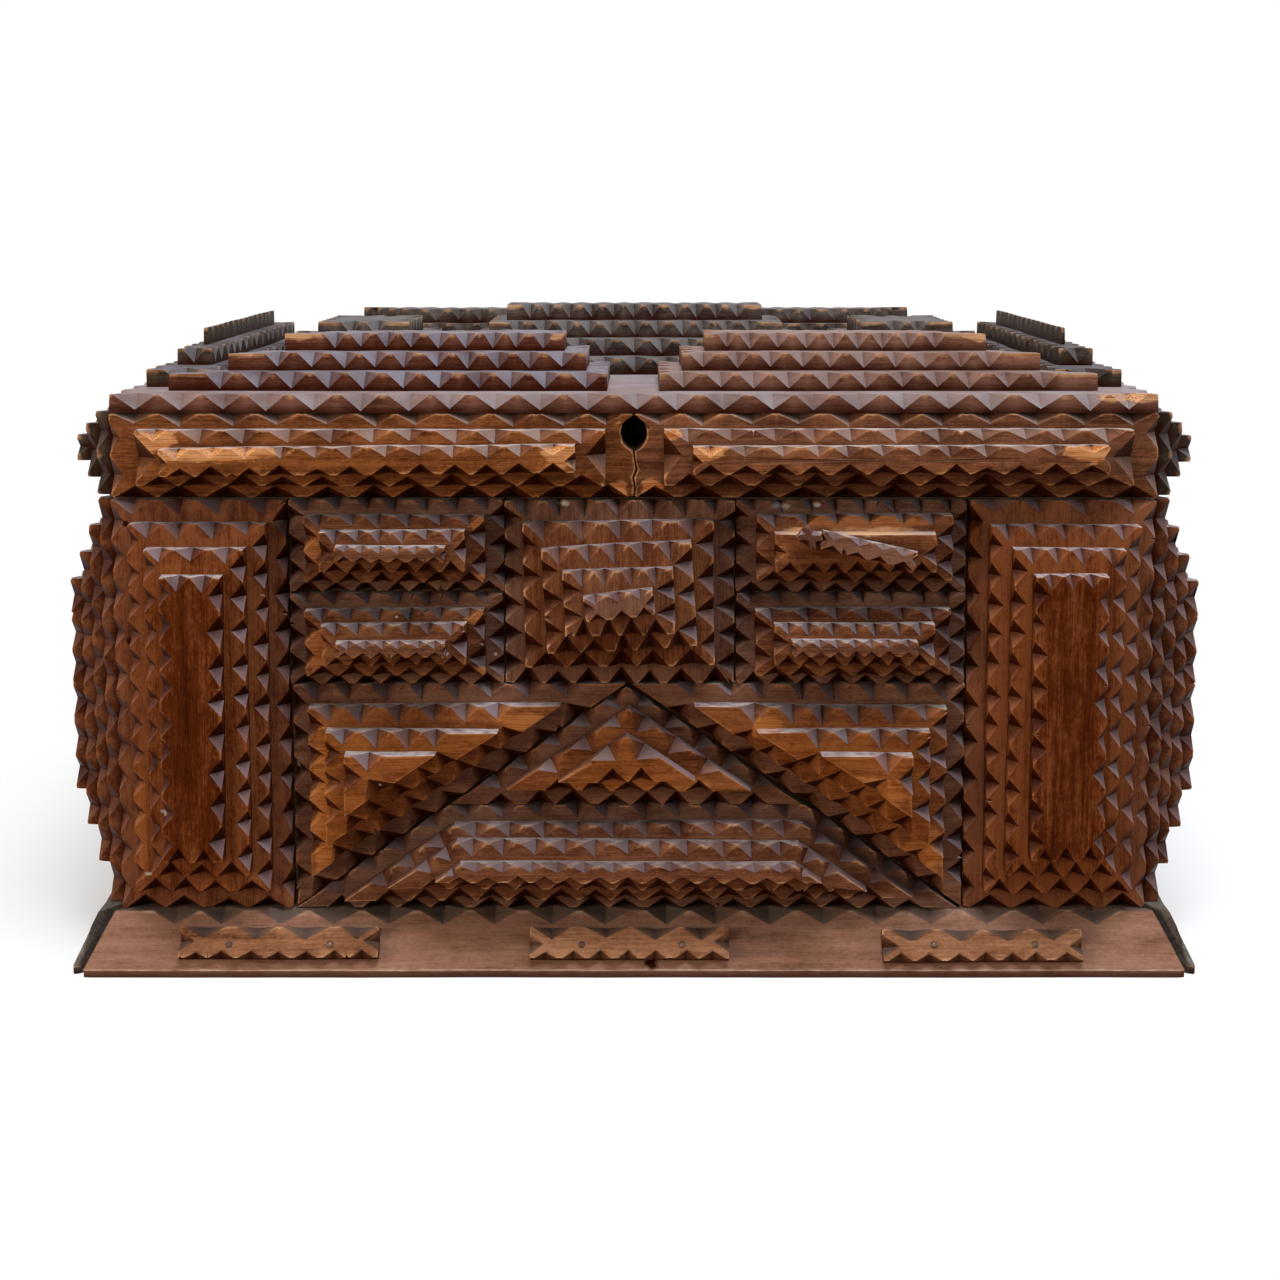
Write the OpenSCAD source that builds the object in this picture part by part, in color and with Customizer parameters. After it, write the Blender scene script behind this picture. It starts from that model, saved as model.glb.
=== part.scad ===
// Tramp art box: a plain hinged box covered with stepped stacks of thin wood,
// each layer chip-carved along its edges. The front faces -Y and the box rests on Z = 0.

/* [Carcass] */
// Width of the carcass, left to right
carcass_w = 258; // [244:1:290]
// Depth of the carcass, front to back
carcass_d = 178.6; // [170:0.2:210]
// Height of the carcass up to the lid
carcass_h = 118.6; // [110:0.2:140]
// Thickness of the carcass boards and lid rails
board_t = 7; // [6:0.5:9]

/* [Layers] */
// Thickness of one carved layer
layer_t = 4.2; // [3.4:0.1:5]
// Film of glue between layers
glue = 0.05; // [0.05:0.05:0.15]
// Gap between neighbouring panels
panel_gap = 0.5; // [0.3:0.1:1.5]
// Rim left uncut under each chip
chip_rim = 0.4; // [0.2:0.1:1]
// Share of the pitch that a chip takes
chip_share = 0.92; // [0.7:0.01:0.95]
// Share of a layer's step that a chip reaches in
chip_reach = 0.85; // [0.5:0.01:0.95]
// Share of a narrow top layer's width that a chip reaches in
chip_narrow = 0.36; // [0.2:0.01:0.4]
// Uncut width left where the chips of two edges meet in a corner
corner_wall = 0.5; // [0.3:0.1:1.5]

/* [Plinth] */
// Height of the plinth moulding
plinth_h = 14.4; // [12:0.1:20]
// Reach of the plinth's foot in front of and behind the carcass
plinth_out = 13.2; // [11:0.1:18]
// Reach of the plinth's foot beside the carcass
plinth_side_out = 11; // [9:0.1:15]
// Width of the plinth's ledge in front of the base layers
plinth_ledge = 1.2; // [0.5:0.1:2.5]
// Upright lip at the plinth's foot
plinth_lip = 2; // [1:0.1:4]
// Pitch of the chips on the plinth's top edge
plinth_pitch = 14.5; // [10:0.5:20]
// Reach of those chips into the plinth's top
plinth_chip_in = 3.4; // [1:0.1:4]
// Reach of those chips down the canted face
plinth_chip_down = 3; // [2:0.1:4]
// Length of a fish-tailed strip on the plinth
strip_l = 49; // [30:1:60]
// Width of a strip
strip_w = 7.6; // [5:0.1:9]
// Thickness of a strip
strip_t = 2.6; // [1.5:0.1:3.2]
// Depth of the fish tail in a strip's ends
strip_tail = 2.6; // [1:0.1:3.4]
// Distance of a strip's middle from the plinth's ledge, down the canted face
strip_drop = 8.6; // [8:0.1:9]
// Distance between the middles of the front strips
strip_spacing = 86; // [65:1:92]
// Distance between the middles of the side strips
side_strip_spacing = 84; // [65:1:100]

/* [Front panels] */
// Width of the left pilaster
left_pilaster_w = 43.5; // [38:0.5:50]
// Width of the upper panels on the left
left_panel_w = 53.5; // [46:0.5:60]
// Width of the square centre panel
centre_panel_w = 57.2; // [50:0.1:64]
// Width of the upper panels on the right
right_panel_w = 57.3; // [50:0.1:64]
// Height of the lower field of triangles
lower_field_h = 57.8; // [48:0.1:62]
// Height of the trapezoid in the lower field
trapezoid_h = 27; // [25:0.1:32]
// Step of the pilaster layers, across
pilaster_step_x = 4.7; // [3.5:0.1:5]
// Step of the pilaster layers, up
pilaster_step_z = 5.5; // [4:0.1:8]
// Step of the upper panel layers, across
panel_step_x = 4.4; // [3:0.1:6]
// Step of the upper panel layers, up
panel_step_z = 3.2; // [2.4:0.1:3.3]
// Step of the centre panel layers
centre_step = 5; // [3.5:0.1:5.2]
// Step of the corner triangle layers
triangle_step = 4.8; // [3.5:0.1:5]
// Step of the small triangle layers
small_triangle_step = 4.2; // [3:0.1:4.4]
// Step of the trapezoid layers
trapezoid_step = 3.7; // [2.6:0.1:3.8]

/* [Sides and back] */
// Step of the side layers, front to back
side_step_y = 5.2; // [3.5:0.1:8]
// Step of the side layers, up
side_step_z = 8; // [5:0.1:10]
// Margin between the back layers and the lid joint, which sets how far the lid opens
back_margin = 2.5; // [2.5:0.1:5]
// Room left round a hinge leaf in the back layers
leaf_room = 1; // [0.6:0.1:2]

/* [Lid] */
// Gap between the carcass and the lid
lid_gap = 0.4; // [0.3:0.1:1]
// Height of the lid rails
lid_rail_h = 21.1; // [20:0.1:30]
// Thickness of the lid board
lid_board_t = 4.5; // [3.5:0.1:7]
// Reach of the lid board over the front and back rails
lid_overhang = 4.2; // [3:0.1:5]
// Step of the lid front layers, across
lid_face_step_x = 7; // [5:0.1:9]
// Step of the lid front layers, up
lid_face_step_z = 3.5; // [2.6:0.1:3.8]
// Step of the lid side layers, front to back
lid_side_step_y = 6; // [4:0.1:9]
// Step of the lid side layers, up
lid_side_step_z = 3.5; // [2.6:0.1:3.8]

/* [Lid top] */
// Thickness of one layer on the lid top
top_layer_t = 4.4; // [3.6:0.1:5.2]
// Margin in front of the corner stacks on the lid board
top_front_margin = 9; // [6:0.1:12]
// Margin outside the corner stacks' long edges
top_end_margin = 13; // [10:0.1:18]
// Half the valley between two corner stacks
top_valley = 6.5; // [4:0.1:10]
// Depth of a corner stack
corner_stack_d = 38; // [34:0.5:40]
// Step of the corner stacks, front
corner_step_front = 8; // [6:0.1:8.5]
// Step of the corner stacks, inner end
corner_step_inner = 5.8; // [4:0.1:8]
// Step of the corner stacks, mitred end and rear
corner_step_mitre = 3.4; // [2.6:0.1:4]
// Width of the side strips
top_strip_w = 16.9; // [14:0.1:18]
// Step of the side strips, across
top_strip_step_x = 4; // [3:0.1:4.6]
// Step of the side strips, front to back
top_strip_step_y = 14; // [8:0.1:18]
// Gap between the side strips and the corner stacks' mitres
top_strip_gap = 2; // [1:0.1:5]
// Width of the centre stack
centre_stack_w = 104; // [90:1:110]
// Width of the stacks beside the centre stack
mid_stack_w = 46; // [38:1:48]
// Gap between the centre stack and the stacks beside it
mid_stack_gap = 2.5; // [1:0.1:4]
// Depth of these three stacks
centre_stack_d = 74; // [66:1:80]
// Step of these stacks, across
centre_stack_step_x = 5; // [4:0.1:6]
// Step of these stacks, front to back
centre_stack_step_y = 9.6; // [6:0.1:10]

/* [Hinges] */
// Distance of a hinge from the middle of the box
hinge_x = 75; // [60:1:90]
// Length of a hinge along its pin
hinge_l = 24; // [18:1:30]
// Height of a hinge leaf from the pin
leaf_h = 13; // [11:0.5:16]
// Thickness of a hinge leaf
leaf_t = 1.2; // [0.8:0.1:1.5]
// Outer diameter of the knuckles
knuckle_dia = 5; // [4.4:0.1:5.4]
// Diameter of the hinge pin
pin_dia = 2.4; // [2:0.1:3]
// Running clearance round the pin
pin_clearance = 0.04; // [0.02:0.01:0.08]
// Gap between two knuckles
knuckle_gap = 0.3; // [0.2:0.1:0.6]
// Gap between the knuckles and the carcass
knuckle_seat = 0.1; // [0.05:0.05:0.3]
// Shank diameter of the screws
screw_dia = 2.2; // [1.6:0.1:2.6]
// Head diameter of the screws
screw_head_dia = 4.4; // [3.6:0.1:5]
// Head height of the screws
screw_head_h = 0.9; // [0.5:0.1:1.2]
// Length of the screws in the wood
screw_l = 5; // [3:0.5:5.5]
// Clearance round the screws
screw_clearance = 0.05; // [0.03:0.01:0.1]

/* [Lock] */
// Width of the keyhole
keyhole_w = 6.5; // [5.4:0.1:8]
// Height of the keyhole
keyhole_h = 8.5; // [7:0.1:9]
// Height of the keyhole's middle above the lid joint
keyhole_z = 16; // [15.5:0.1:17]
// Length of the lock plate
lock_plate_l = 60; // [54:1:70]
// Thickness of the lock plate
lock_plate_t = 1.2; // [0.8:0.1:1.4]
// Height of the lock plate and cap
lock_h = 16.4; // [15.6:0.1:16.8]
// Gap between the lock and the lid board
lock_top_room = 0.4; // [0.2:0.1:0.8]
// Reach of the lock cap left of the keyhole
lock_cap_left = 20; // [18:0.5:22]
// Reach of the lock cap right of the keyhole
lock_cap_right = 17; // [15:0.5:18]
// Depth of the lock cap
lock_cap_d = 9; // [8.4:0.1:11]
// Wall of the lock cap
lock_wall = 1; // [0.8:0.1:1.4]
// Height of the bolt
bolt_h = 5; // [4:0.1:5.4]
// Thickness of the bolt
bolt_t = 3; // [2:0.1:3.4]
// Height of the bolt's underside above the lid joint
bolt_z = 6.6; // [6.2:0.1:6.8]
// Reach of the bolt's nose out of the cap when it is drawn back
bolt_nose = 0.3; // [0.1:0.1:0.6]
// Room behind the bolt in the cap
bolt_room = 2.5; // [1:0.1:3]
// Travel of the bolt
bolt_travel = 6; // [5:0.1:7]
// Sliding clearance round the bolt
bolt_clearance = 0.15; // [0.1:0.05:0.3]
// Diameter of the stump that the bolt slides on
stump_dia = 2.4; // [1.8:0.1:2.8]
// Depth of the key's notch in the bolt
talon_d = 1.4; // [0.8:0.1:1.6]
// Thickness of the staple that the bolt enters
staple_t = 3; // [2:0.1:3.5]
// Wall round the staple's eye
staple_wall = 1.1; // [0.8:0.1:1.6]
// Room between the bolt and the staple's eye
staple_room = 0.5; // [0.4:0.05:0.8]
// Gap between the lock cap and the staple
staple_gap = 1.2; // [0.8:0.1:2]
// Height of the staple's plate
staple_plate_h = 15; // [12:0.5:20]

/* [Hidden] */
$fn = 48;

// Cutting tools run this far past what they cut
past = 1;

// Colours of the wood and metal
dark_wood = "#4a2f22";
red_wood = "#6b3d26";
orange_wood = "#8a4f2a";
grey_wood = "#5b4a40";
plain_wood = "#7d5a3c";
brass = "#9a7b3f";
steel = "#6f7276";

// Faces of the carcass
half_w = carcass_w / 2;
half_d = carcass_d / 2;
inner_w = carcass_w - 2 * board_t;
inner_d = carcass_d - 2 * board_t;
inner_front = -half_d + board_t;
front_layer_y = -half_d - glue;
side_layer_x = half_w + glue;

// Heights of the lid's parts
joint_z = carcass_h + lid_gap / 2;
lid_z = carcass_h + lid_gap;
lid_board_z = lid_z + lid_rail_h;
lid_top_z = lid_board_z + lid_board_t + glue;

// Columns and rows of the front panels
layer_rise = layer_t + glue;
col_0 = -half_w;
col_1 = col_0 + left_pilaster_w;
col_2 = col_1 + left_panel_w;
col_3 = col_2 + centre_panel_w;
col_4 = col_3 + right_panel_w;
col_5 = half_w;
row_0 = plinth_h;
row_1 = row_0 + lower_field_h;
row_3 = carcass_h;
row_2 = (row_1 + row_3) / 2;
field_mid = (col_1 + col_4) / 2;
field_half = (col_4 - col_1) / 2;
split_half = field_half * (1 - trapezoid_h / lower_field_h);

// Pitches of the chips, base layer first
pilaster_pitches = [10, 9.6, 9.2, 7.5];
panel_pitches = [7, 7, 5.6, 4.4];
centre_pitches = [7.7, 8.4, 7.6, 6.6, 5];
triangle_pitches = [10, 9, 8, 7];
trapezoid_pitches = [9, 8.4, 7.6, 7];
side_pitches = [10, 10, 9.4, 9];
face_pitches = [11.3, 10.7, 8.4];
board_pitch = 11;
top_pitches = [9, 7.8, 6.6, 6];

// Hinge axis
knuckle_r = knuckle_dia / 2;
hinge_stand = knuckle_r + knuckle_seat;
hinge_y = half_d + hinge_stand;
knuckle_l = (hinge_l - 2 * knuckle_gap) / 3;
leaf_screw_x = hinge_l / 2 - screw_head_dia;
leaf_screw_z = (leaf_h + knuckle_r) / 2;

// Lock
plate_y = inner_front + lock_plate_t;
lock_z = lid_board_z - lock_h - lock_top_room;
bolt_low = lid_z + bolt_z;
bolt_rear = plate_y + lock_cap_d - lock_wall - bolt_room;
bolt_front = bolt_rear - bolt_t;
bolt_left = -lock_cap_left + lock_wall + bolt_nose;
bolt_right = lock_cap_right + bolt_nose;
stump_x = bolt_left + bolt_travel + 2 * stump_dia;
staple_x = lock_cap_right + staple_gap;
eye_front = bolt_front - staple_room;
eye_rear = bolt_rear + staple_room;
eye_low = bolt_low - staple_room;
eye_high = bolt_low + bolt_h + staple_room;
lock_screw_x = lock_plate_l / 2 - screw_head_dia;
staple_screw_dx = staple_t / 2 + screw_head_dia / 2 + staple_wall;
staple_plate_w = 2 * (staple_screw_dx + screw_head_dia / 2 + staple_wall);

// Chip carving

// Interior angle of a corner
function corner_angle(prev, here, next) =
    let (a = prev - here, b = next - here)
    acos(a * b / (norm(a) * norm(b)));

// Unit normal of an edge, pointing into an outline that runs anticlockwise
function edge_normal(p, q) =
    let (u = (q - p) / norm(q - p))
    [-u.y, u.x];

// Outline with each edge moved inwards by its own distance
function inset_outline(pts, steps) =
    let (n = len(pts))
    [for (i = [0 : n - 1])
        let (
            before = edge_normal(pts[(i + n - 1) % n], pts[i]),
            after = edge_normal(pts[i], pts[(i + 1) % n]),
            d1 = steps[(i + n - 1) % n],
            d2 = steps[i],
            det = before.x * after.y - before.y * after.x
        )
        pts[i] + [d1 * after.y - d2 * before.y, before.x * d2 - after.x * d1] / det];

// Width of an outline across each edge
function width_across(pts, i) =
    let (p = pts[i], q = pts[(i + 1) % len(pts)], normal = edge_normal(p, q))
    max([for (v = pts) (v - p) * normal]);
function least_width(pts) = min([for (i = [0 : len(pts) - 1]) width_across(pts, i)]);

// Reach of the chips on each edge, from the step to the next layer and the layer's own width
function chip_depths(pts, steps) =
    [for (s = steps) min(chip_reach * s, chip_narrow * least_width(pts))];

// Rectangle as an anticlockwise outline, first edge at the bottom
function rectangle(x0, y0, x1, y1) = [[x0, y0], [x1, y0], [x1, y1], [x0, y1]];

// Length of an edge that the first chip leaves free at a corner
function corner_room(angle, depth, chip_w) =
    max(corner_wall, (depth + corner_wall) / tan(angle / 2) - chip_w / 2);

// Comb of V-shaped cutters along X. Each valley runs from inner, on the top face,
// to outer, on the edge face, and opens to chip_w at the corner point.
module chip_comb(start, count, pitch, inner, outer, corner) {
    run = inner - outer;
    run_l = norm(run);
    normal = [-run.y, run.x] / run_l;
    rise = (corner - outer) * normal;
    ridge = rise / chip_share;
    zigzag = [for (k = [0 : count - 1]) each [
        [start + k * pitch, -ridge],
        [start + (k + 0.5) * pitch, 0]
    ]];
    finish = start + count * pitch;
    cap = [[finish, -ridge], [finish, -ridge - past], [start, -ridge - past]];
    translate([0, outer.x, outer.y])
        rotate([-atan2(run.x, run.y), 0, 0])
            translate([0, 0, -past])
                linear_extrude(run_l + 2 * past)
                    polygon(concat(zigzag, cap));
}

// Chips along one edge of a layer
module edge_chips(pts, i, pitch, depth, t) {
    n = len(pts);
    p = pts[i];
    q = pts[(i + 1) % n];
    edge_l = norm(q - p);
    chip_w = chip_share * pitch;
    room_p = corner_room(corner_angle(pts[(i + n - 1) % n], p, q), depth, chip_w);
    room_q = corner_room(corner_angle(p, q, pts[(i + 2) % n]), depth, chip_w);
    span = edge_l - room_p - room_q;
    count = max(1, round(span / pitch));
    translate([p.x, p.y, 0])
        rotate([0, 0, atan2(q.y - p.y, q.x - p.x)])
            chip_comb(room_p, count, span / count, [depth, t], [0, chip_rim], [0, t]);
}

// One layer, carved along every edge
module carved_layer(pts, pitch, depths, t = layer_t) {
    difference() {
        linear_extrude(t)
            polygon(pts);
        for (i = [0 : len(pts) - 1])
            edge_chips(pts, i, pitch, depths[i], t);
    }
}

// Stack of carved layers that step inwards, from layer first to layer last
module carved_stack(pts, steps, pitches, first, last, t = layer_t) {
    for (k = [first : last]) {
        layer = inset_outline(pts, steps * k);
        translate([0, 0, (k - first) * (t + glue)])
            carved_layer(layer, pitches[k], chip_depths(layer, steps), t);
    }
}

// Stack that fills its outline less half the gap to its neighbours
module panel_stack(pts, steps, pitches, last) {
    room = [for (s = steps) panel_gap / 2];
    carved_stack(inset_outline(pts, room), steps, pitches, 0, last);
}

// Places a stack on the front, left, right or back: its X runs along the face and its Y goes up
module on_front(y = front_layer_y) {
    translate([0, y, 0])
        rotate([90, 0, 0])
            children();
}
module on_right() {
    translate([side_layer_x, 0, 0])
        rotate([90, 0, 90])
            children();
}
module on_left() {
    translate([-side_layer_x, 0, 0])
        rotate([90, 0, -90])
            children();
}
module on_back() {
    translate([0, half_d + glue, 0])
        rotate([90, 0, 180])
            children();
}

// Carcass

// Positions of the hinge screws, above or below the pin
module at_leaf_screws(side) {
    for (h = [-1, 1], k = [-1, 1])
        translate([h * hinge_x + k * leaf_screw_x, half_d, joint_z + side * leaf_screw_z])
            children();
}
module hinge_bores(side) {
    at_leaf_screws(side)
        rotate([90, 0, 0])
            cylinder(d = screw_dia + 2 * screw_clearance, h = screw_l + past / 2);
}

module front_board() {
    color(plain_wood)
        difference() {
            translate([-half_w, -half_d, 0])
                cube([carcass_w, board_t, carcass_h]);
            at_staple_screws()
                rotate([90, 0, 0])
                    cylinder(d = screw_dia + 2 * screw_clearance, h = screw_l + past / 2);
        }
}
module back_board() {
    color(plain_wood)
        difference() {
            translate([-half_w, half_d - board_t, 0])
                cube([carcass_w, board_t, carcass_h]);
            hinge_bores(-1);
        }
}
module side_board(side) {
    color(plain_wood)
        translate([side * (half_w - board_t / 2) - board_t / 2, inner_front, 0])
            cube([board_t, inner_d, carcass_h]);
}
module bottom_board() {
    color(plain_wood)
        translate([-inner_w / 2, inner_front, 0])
            cube([inner_w, inner_d, board_t]);
}

// Plinth

// Reach of the plinth's flat top and of its upper edge
plinth_top = layer_t + plinth_ledge;

// Canted profile: X runs outwards, Y goes up
function plinth_profile(reach) =
    [[0, 0], [reach, 0], [reach, plinth_lip], [plinth_top, plinth_h], [0, plinth_h]];

// Straight moulding along X whose outer side faces -Y, with a notched upper edge
module plinth_moulding(length, reach) {
    count = round((length - 2 * reach) / plinth_pitch);
    pitch = (length - 2 * reach) / count;
    cant = [reach - plinth_top, plinth_lip - plinth_h];
    foot = [plinth_top, plinth_h] + plinth_chip_down * cant / norm(cant);
    difference() {
        translate([-length / 2, 0, 0])
            rotate([90, 0, 90])
                linear_extrude(length)
                    polygon([for (v = plinth_profile(reach)) [-v.x, v.y]]);
        chip_comb(-length / 2 + reach, count, pitch, [plinth_chip_in - plinth_top, plinth_h],
            [-foot.x, foot.y], [-plinth_top, plinth_h]);
    }
}

// Plan of the mitred quarter that a moulding fills, with a saw cut at each mitre
module mitre_plan(half_l, near, reach_l, reach) {
    far = 2;
    linear_extrude(plinth_h + past)
        polygon([
            [-half_l + glue, -near],
            [half_l - glue, -near],
            [half_l - glue + far * reach_l, -near - far * reach],
            [-half_l + glue - far * reach_l, -near - far * reach]
        ]);
}
module long_plinth() {
    color(red_wood)
        intersection() {
            translate([0, -half_d, 0])
                plinth_moulding(carcass_w + 2 * plinth_side_out, plinth_out);
            mitre_plan(half_w, half_d, plinth_side_out, plinth_out);
        }
}
module short_plinth() {
    color(red_wood)
        intersection() {
            translate([0, -half_w, 0])
                plinth_moulding(carcass_d + 2 * plinth_out, plinth_side_out);
            mitre_plan(half_d, half_w, plinth_out, plinth_side_out);
        }
}
module front_plinth() { long_plinth(); }
module back_plinth() { rotate([0, 0, 180]) long_plinth(); }
module left_plinth() { rotate([0, 0, -90]) short_plinth(); }
module right_plinth() { rotate([0, 0, 90]) short_plinth(); }

// Fish-tailed strip, carved along its two long edges
module fish_tail_strip() {
    half_l = strip_l / 2;
    half_s = strip_w / 2;
    pts = [
        [-half_l, -half_s], [half_l, -half_s], [half_l - strip_tail, 0],
        [half_l, half_s], [-half_l, half_s], [-half_l + strip_tail, 0]
    ];
    depth = chip_narrow * strip_w;
    difference() {
        linear_extrude(strip_t)
            polygon(pts);
        for (i = [0, 3])
            edge_chips(pts, i, panel_pitches[0], depth, strip_t);
    }
}

// Strips side by side on the canted face of a moulding that faces -Y
module strips_on_cant(near, reach, middles) {
    cant = [reach - plinth_top, plinth_h - plinth_lip];
    tilt = atan2(cant.y, cant.x);
    color(red_wood)
        for (x = middles)
            translate([x, -near - plinth_top, plinth_h])
                rotate([tilt, 0, 0])
                    translate([0, -strip_drop, glue])
                        fish_tail_strip();
}
module front_plinth_strips() {
    strips_on_cant(half_d, plinth_out, [-strip_spacing, 0, strip_spacing]);
}
module side_plinth_strips() {
    for (turn = [-90, 90])
        rotate([0, 0, turn])
            strips_on_cant(half_w, plinth_side_out, [-side_strip_spacing / 2, side_strip_spacing / 2]);
}

// Front panels

pilaster_steps = [pilaster_step_z, pilaster_step_x, pilaster_step_z, pilaster_step_x];
panel_steps = [panel_step_z, panel_step_x, panel_step_z, panel_step_x];

module pilaster(x0, x1) {
    color(dark_wood)
        on_front()
            panel_stack(rectangle(x0, row_0, x1, row_3), pilaster_steps, pilaster_pitches, 3);
}
module upper_panel(x0, x1, z0, z1) {
    color(dark_wood)
        on_front()
            panel_stack(rectangle(x0, z0, x1, z1), panel_steps, panel_pitches, 3);
}
module centre_panel() {
    steps = [for (i = [0 : 3]) centre_step];
    color(red_wood)
        on_front()
            panel_stack(rectangle(col_2, row_1, col_3, row_3), steps, centre_pitches, 4);
}
module corner_triangle(pts) {
    steps = [for (i = [0 : 2]) triangle_step];
    color(orange_wood)
        on_front()
            panel_stack(pts, steps, triangle_pitches, 3);
}
module lower_left_triangle() {
    corner_triangle([[col_1, row_0], [field_mid, row_1], [col_1, row_1]]);
}
module lower_right_triangle() {
    corner_triangle([[col_4, row_0], [col_4, row_1], [field_mid, row_1]]);
}
module lower_centre_triangle() {
    steps = [for (i = [0 : 2]) small_triangle_step];
    split_z = row_0 + trapezoid_h;
    pts = [[field_mid - split_half, split_z], [field_mid + split_half, split_z], [field_mid, row_1]];
    color(orange_wood)
        on_front()
            panel_stack(pts, steps, triangle_pitches, 2);
}
module lower_trapezoid() {
    steps = [for (i = [0 : 3]) trapezoid_step];
    split_z = row_0 + trapezoid_h;
    pts = [
        [col_1, row_0], [col_4, row_0],
        [field_mid + split_half, split_z], [field_mid - split_half, split_z]
    ];
    color(red_wood)
        on_front()
            panel_stack(pts, steps, trapezoid_pitches, 3);
}

// Sides and back

module side_stack() {
    steps = [side_step_z, side_step_y, side_step_z, side_step_y];
    color(dark_wood)
        panel_stack(rectangle(-half_d, row_0, half_d, row_3), steps, side_pitches, 3);
}

// Room for the hinge leaves in a back layer
module leaf_rooms(side) {
    room_l = hinge_l + 2 * leaf_room;
    room_h = leaf_h + leaf_room;
    for (h = [-1, 1])
        translate([h * hinge_x - room_l / 2, joint_z - (1 - side) / 2 * room_h, -past])
            cube([room_l, room_h, layer_t + 2 * past]);
}
module back_layer(z0, z1, side) {
    pts = inset_outline(rectangle(-half_w, z0, half_w, z1), [for (i = [0 : 3]) panel_gap / 2]);
    color(dark_wood)
        on_back()
            difference() {
                carved_layer(pts, side_pitches[0], [for (i = [0 : 3]) chip_reach * layer_t]);
                leaf_rooms(side);
            }
}
module back_panel() { back_layer(row_0, joint_z - back_margin, -1); }
module lid_back_panel() { back_layer(joint_z + back_margin, lid_board_z, 1); }

// Lid

// Keyhole with a pointed head and foot, cut along Y by two arcs
module keyhole(y0, y1) {
    a = keyhole_w / 2;
    b = keyhole_h / 2;
    arc_r = (a * a + b * b) / (2 * a);
    shift = arc_r - a;
    translate([0, y1, lid_z + keyhole_z])
        rotate([90, 0, 0])
            intersection() {
                translate([shift, 0, 0])
                    cylinder(r = arc_r, h = y1 - y0);
                translate([-shift, 0, 0])
                    cylinder(r = arc_r, h = y1 - y0);
            }
}

module lid_board() {
    x = half_w - panel_gap;
    y = half_d + lid_overhang;
    depth = chip_reach * layer_t;
    color(grey_wood)
        translate([0, 0, lid_board_z])
            carved_layer(rectangle(-x, -y, x, y), board_pitch, [for (i = [0 : 3]) depth], lid_board_t);
}
module lid_front_rail() {
    color(plain_wood)
        difference() {
            translate([-half_w, -half_d, lid_z])
                cube([carcass_w, board_t, lid_rail_h]);
            keyhole(-half_d - past, inner_front + past);
            at_lock_screws()
                rotate([90, 0, 0])
                    cylinder(d = screw_dia + 2 * screw_clearance, h = screw_l + lock_plate_t + past / 2);
        }
}
module lid_back_rail() {
    color(plain_wood)
        difference() {
            translate([-half_w, half_d - board_t, lid_z])
                cube([carcass_w, board_t, lid_rail_h]);
            hinge_bores(1);
        }
}
module lid_side_rail(side) {
    color(plain_wood)
        translate([side * (half_w - board_t / 2) - board_t / 2, inner_front, lid_z])
            cube([board_t, inner_d, lid_rail_h]);
}

// Right half of the lid front: the left half is its mirror
lid_face = rectangle(0, lid_z, half_w, lid_board_z);
lid_face_steps = [lid_face_step_z, lid_face_step_x, lid_face_step_z, lid_face_step_x];
lid_face_base = inset_outline(lid_face, [for (i = [0 : 3]) panel_gap / 2]);

module lid_face_half() {
    color(orange_wood)
        difference() {
            on_front()
                carved_stack(lid_face_base, lid_face_steps, face_pitches, 0, 0);
            keyhole(front_layer_y - layer_t - past, -half_d);
        }
}
module lid_face_stack() {
    color(orange_wood)
        on_front(front_layer_y - layer_rise)
            carved_stack(lid_face_base, lid_face_steps, face_pitches, 1, 2);
}
module lid_side_stack() {
    steps = [lid_side_step_z, lid_side_step_y, lid_side_step_z, lid_side_step_y];
    color(dark_wood)
        panel_stack(rectangle(-half_d, lid_z, half_d, lid_board_z), steps, face_pitches, 2);
}

// Lid top

stack_front = half_d + lid_overhang - top_front_margin;
stack_rear = stack_front - corner_stack_d;
stack_end = half_w - top_end_margin;

// Corner stack at the front right, with a mitred outer end
module corner_stack() {
    pts = [
        [top_valley, -stack_front], [stack_end, -stack_front],
        [stack_end - corner_stack_d, -stack_rear], [top_valley, -stack_rear]
    ];
    steps = [corner_step_front, corner_step_mitre, corner_step_mitre, corner_step_inner];
    color(grey_wood)
        translate([0, 0, lid_top_z])
            carved_stack(pts, steps, top_pitches, 0, 2, top_layer_t);
}

// Side strip on the right, clear of the mitres
module top_side_strip() {
    outer = half_w - panel_gap - layer_t;
    inner = outer - top_strip_w;
    half_l = stack_front - max(0, stack_end - inner) - top_strip_gap;
    steps = [top_strip_step_y, top_strip_step_x, top_strip_step_y, top_strip_step_x];
    color(dark_wood)
        translate([0, 0, lid_top_z])
            carved_stack(rectangle(inner, -half_l, outer, half_l), steps, top_pitches, 0, 2, top_layer_t);
}

// Stack in the middle row of the lid top
module middle_stack(x0, x1, last) {
    y = centre_stack_d / 2;
    steps = [centre_stack_step_y, centre_stack_step_x, centre_stack_step_y, centre_stack_step_x];
    color(grey_wood)
        translate([0, 0, lid_top_z])
            carved_stack(rectangle(x0, -y, x1, y), steps, top_pitches, 0, last, top_layer_t);
}
module top_centre_stack() { middle_stack(-centre_stack_w / 2, centre_stack_w / 2, 3); }
module top_mid_stack() {
    x = centre_stack_w / 2 + mid_stack_gap;
    middle_stack(x, x + mid_stack_w, 2);
}

// Hinges

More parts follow.
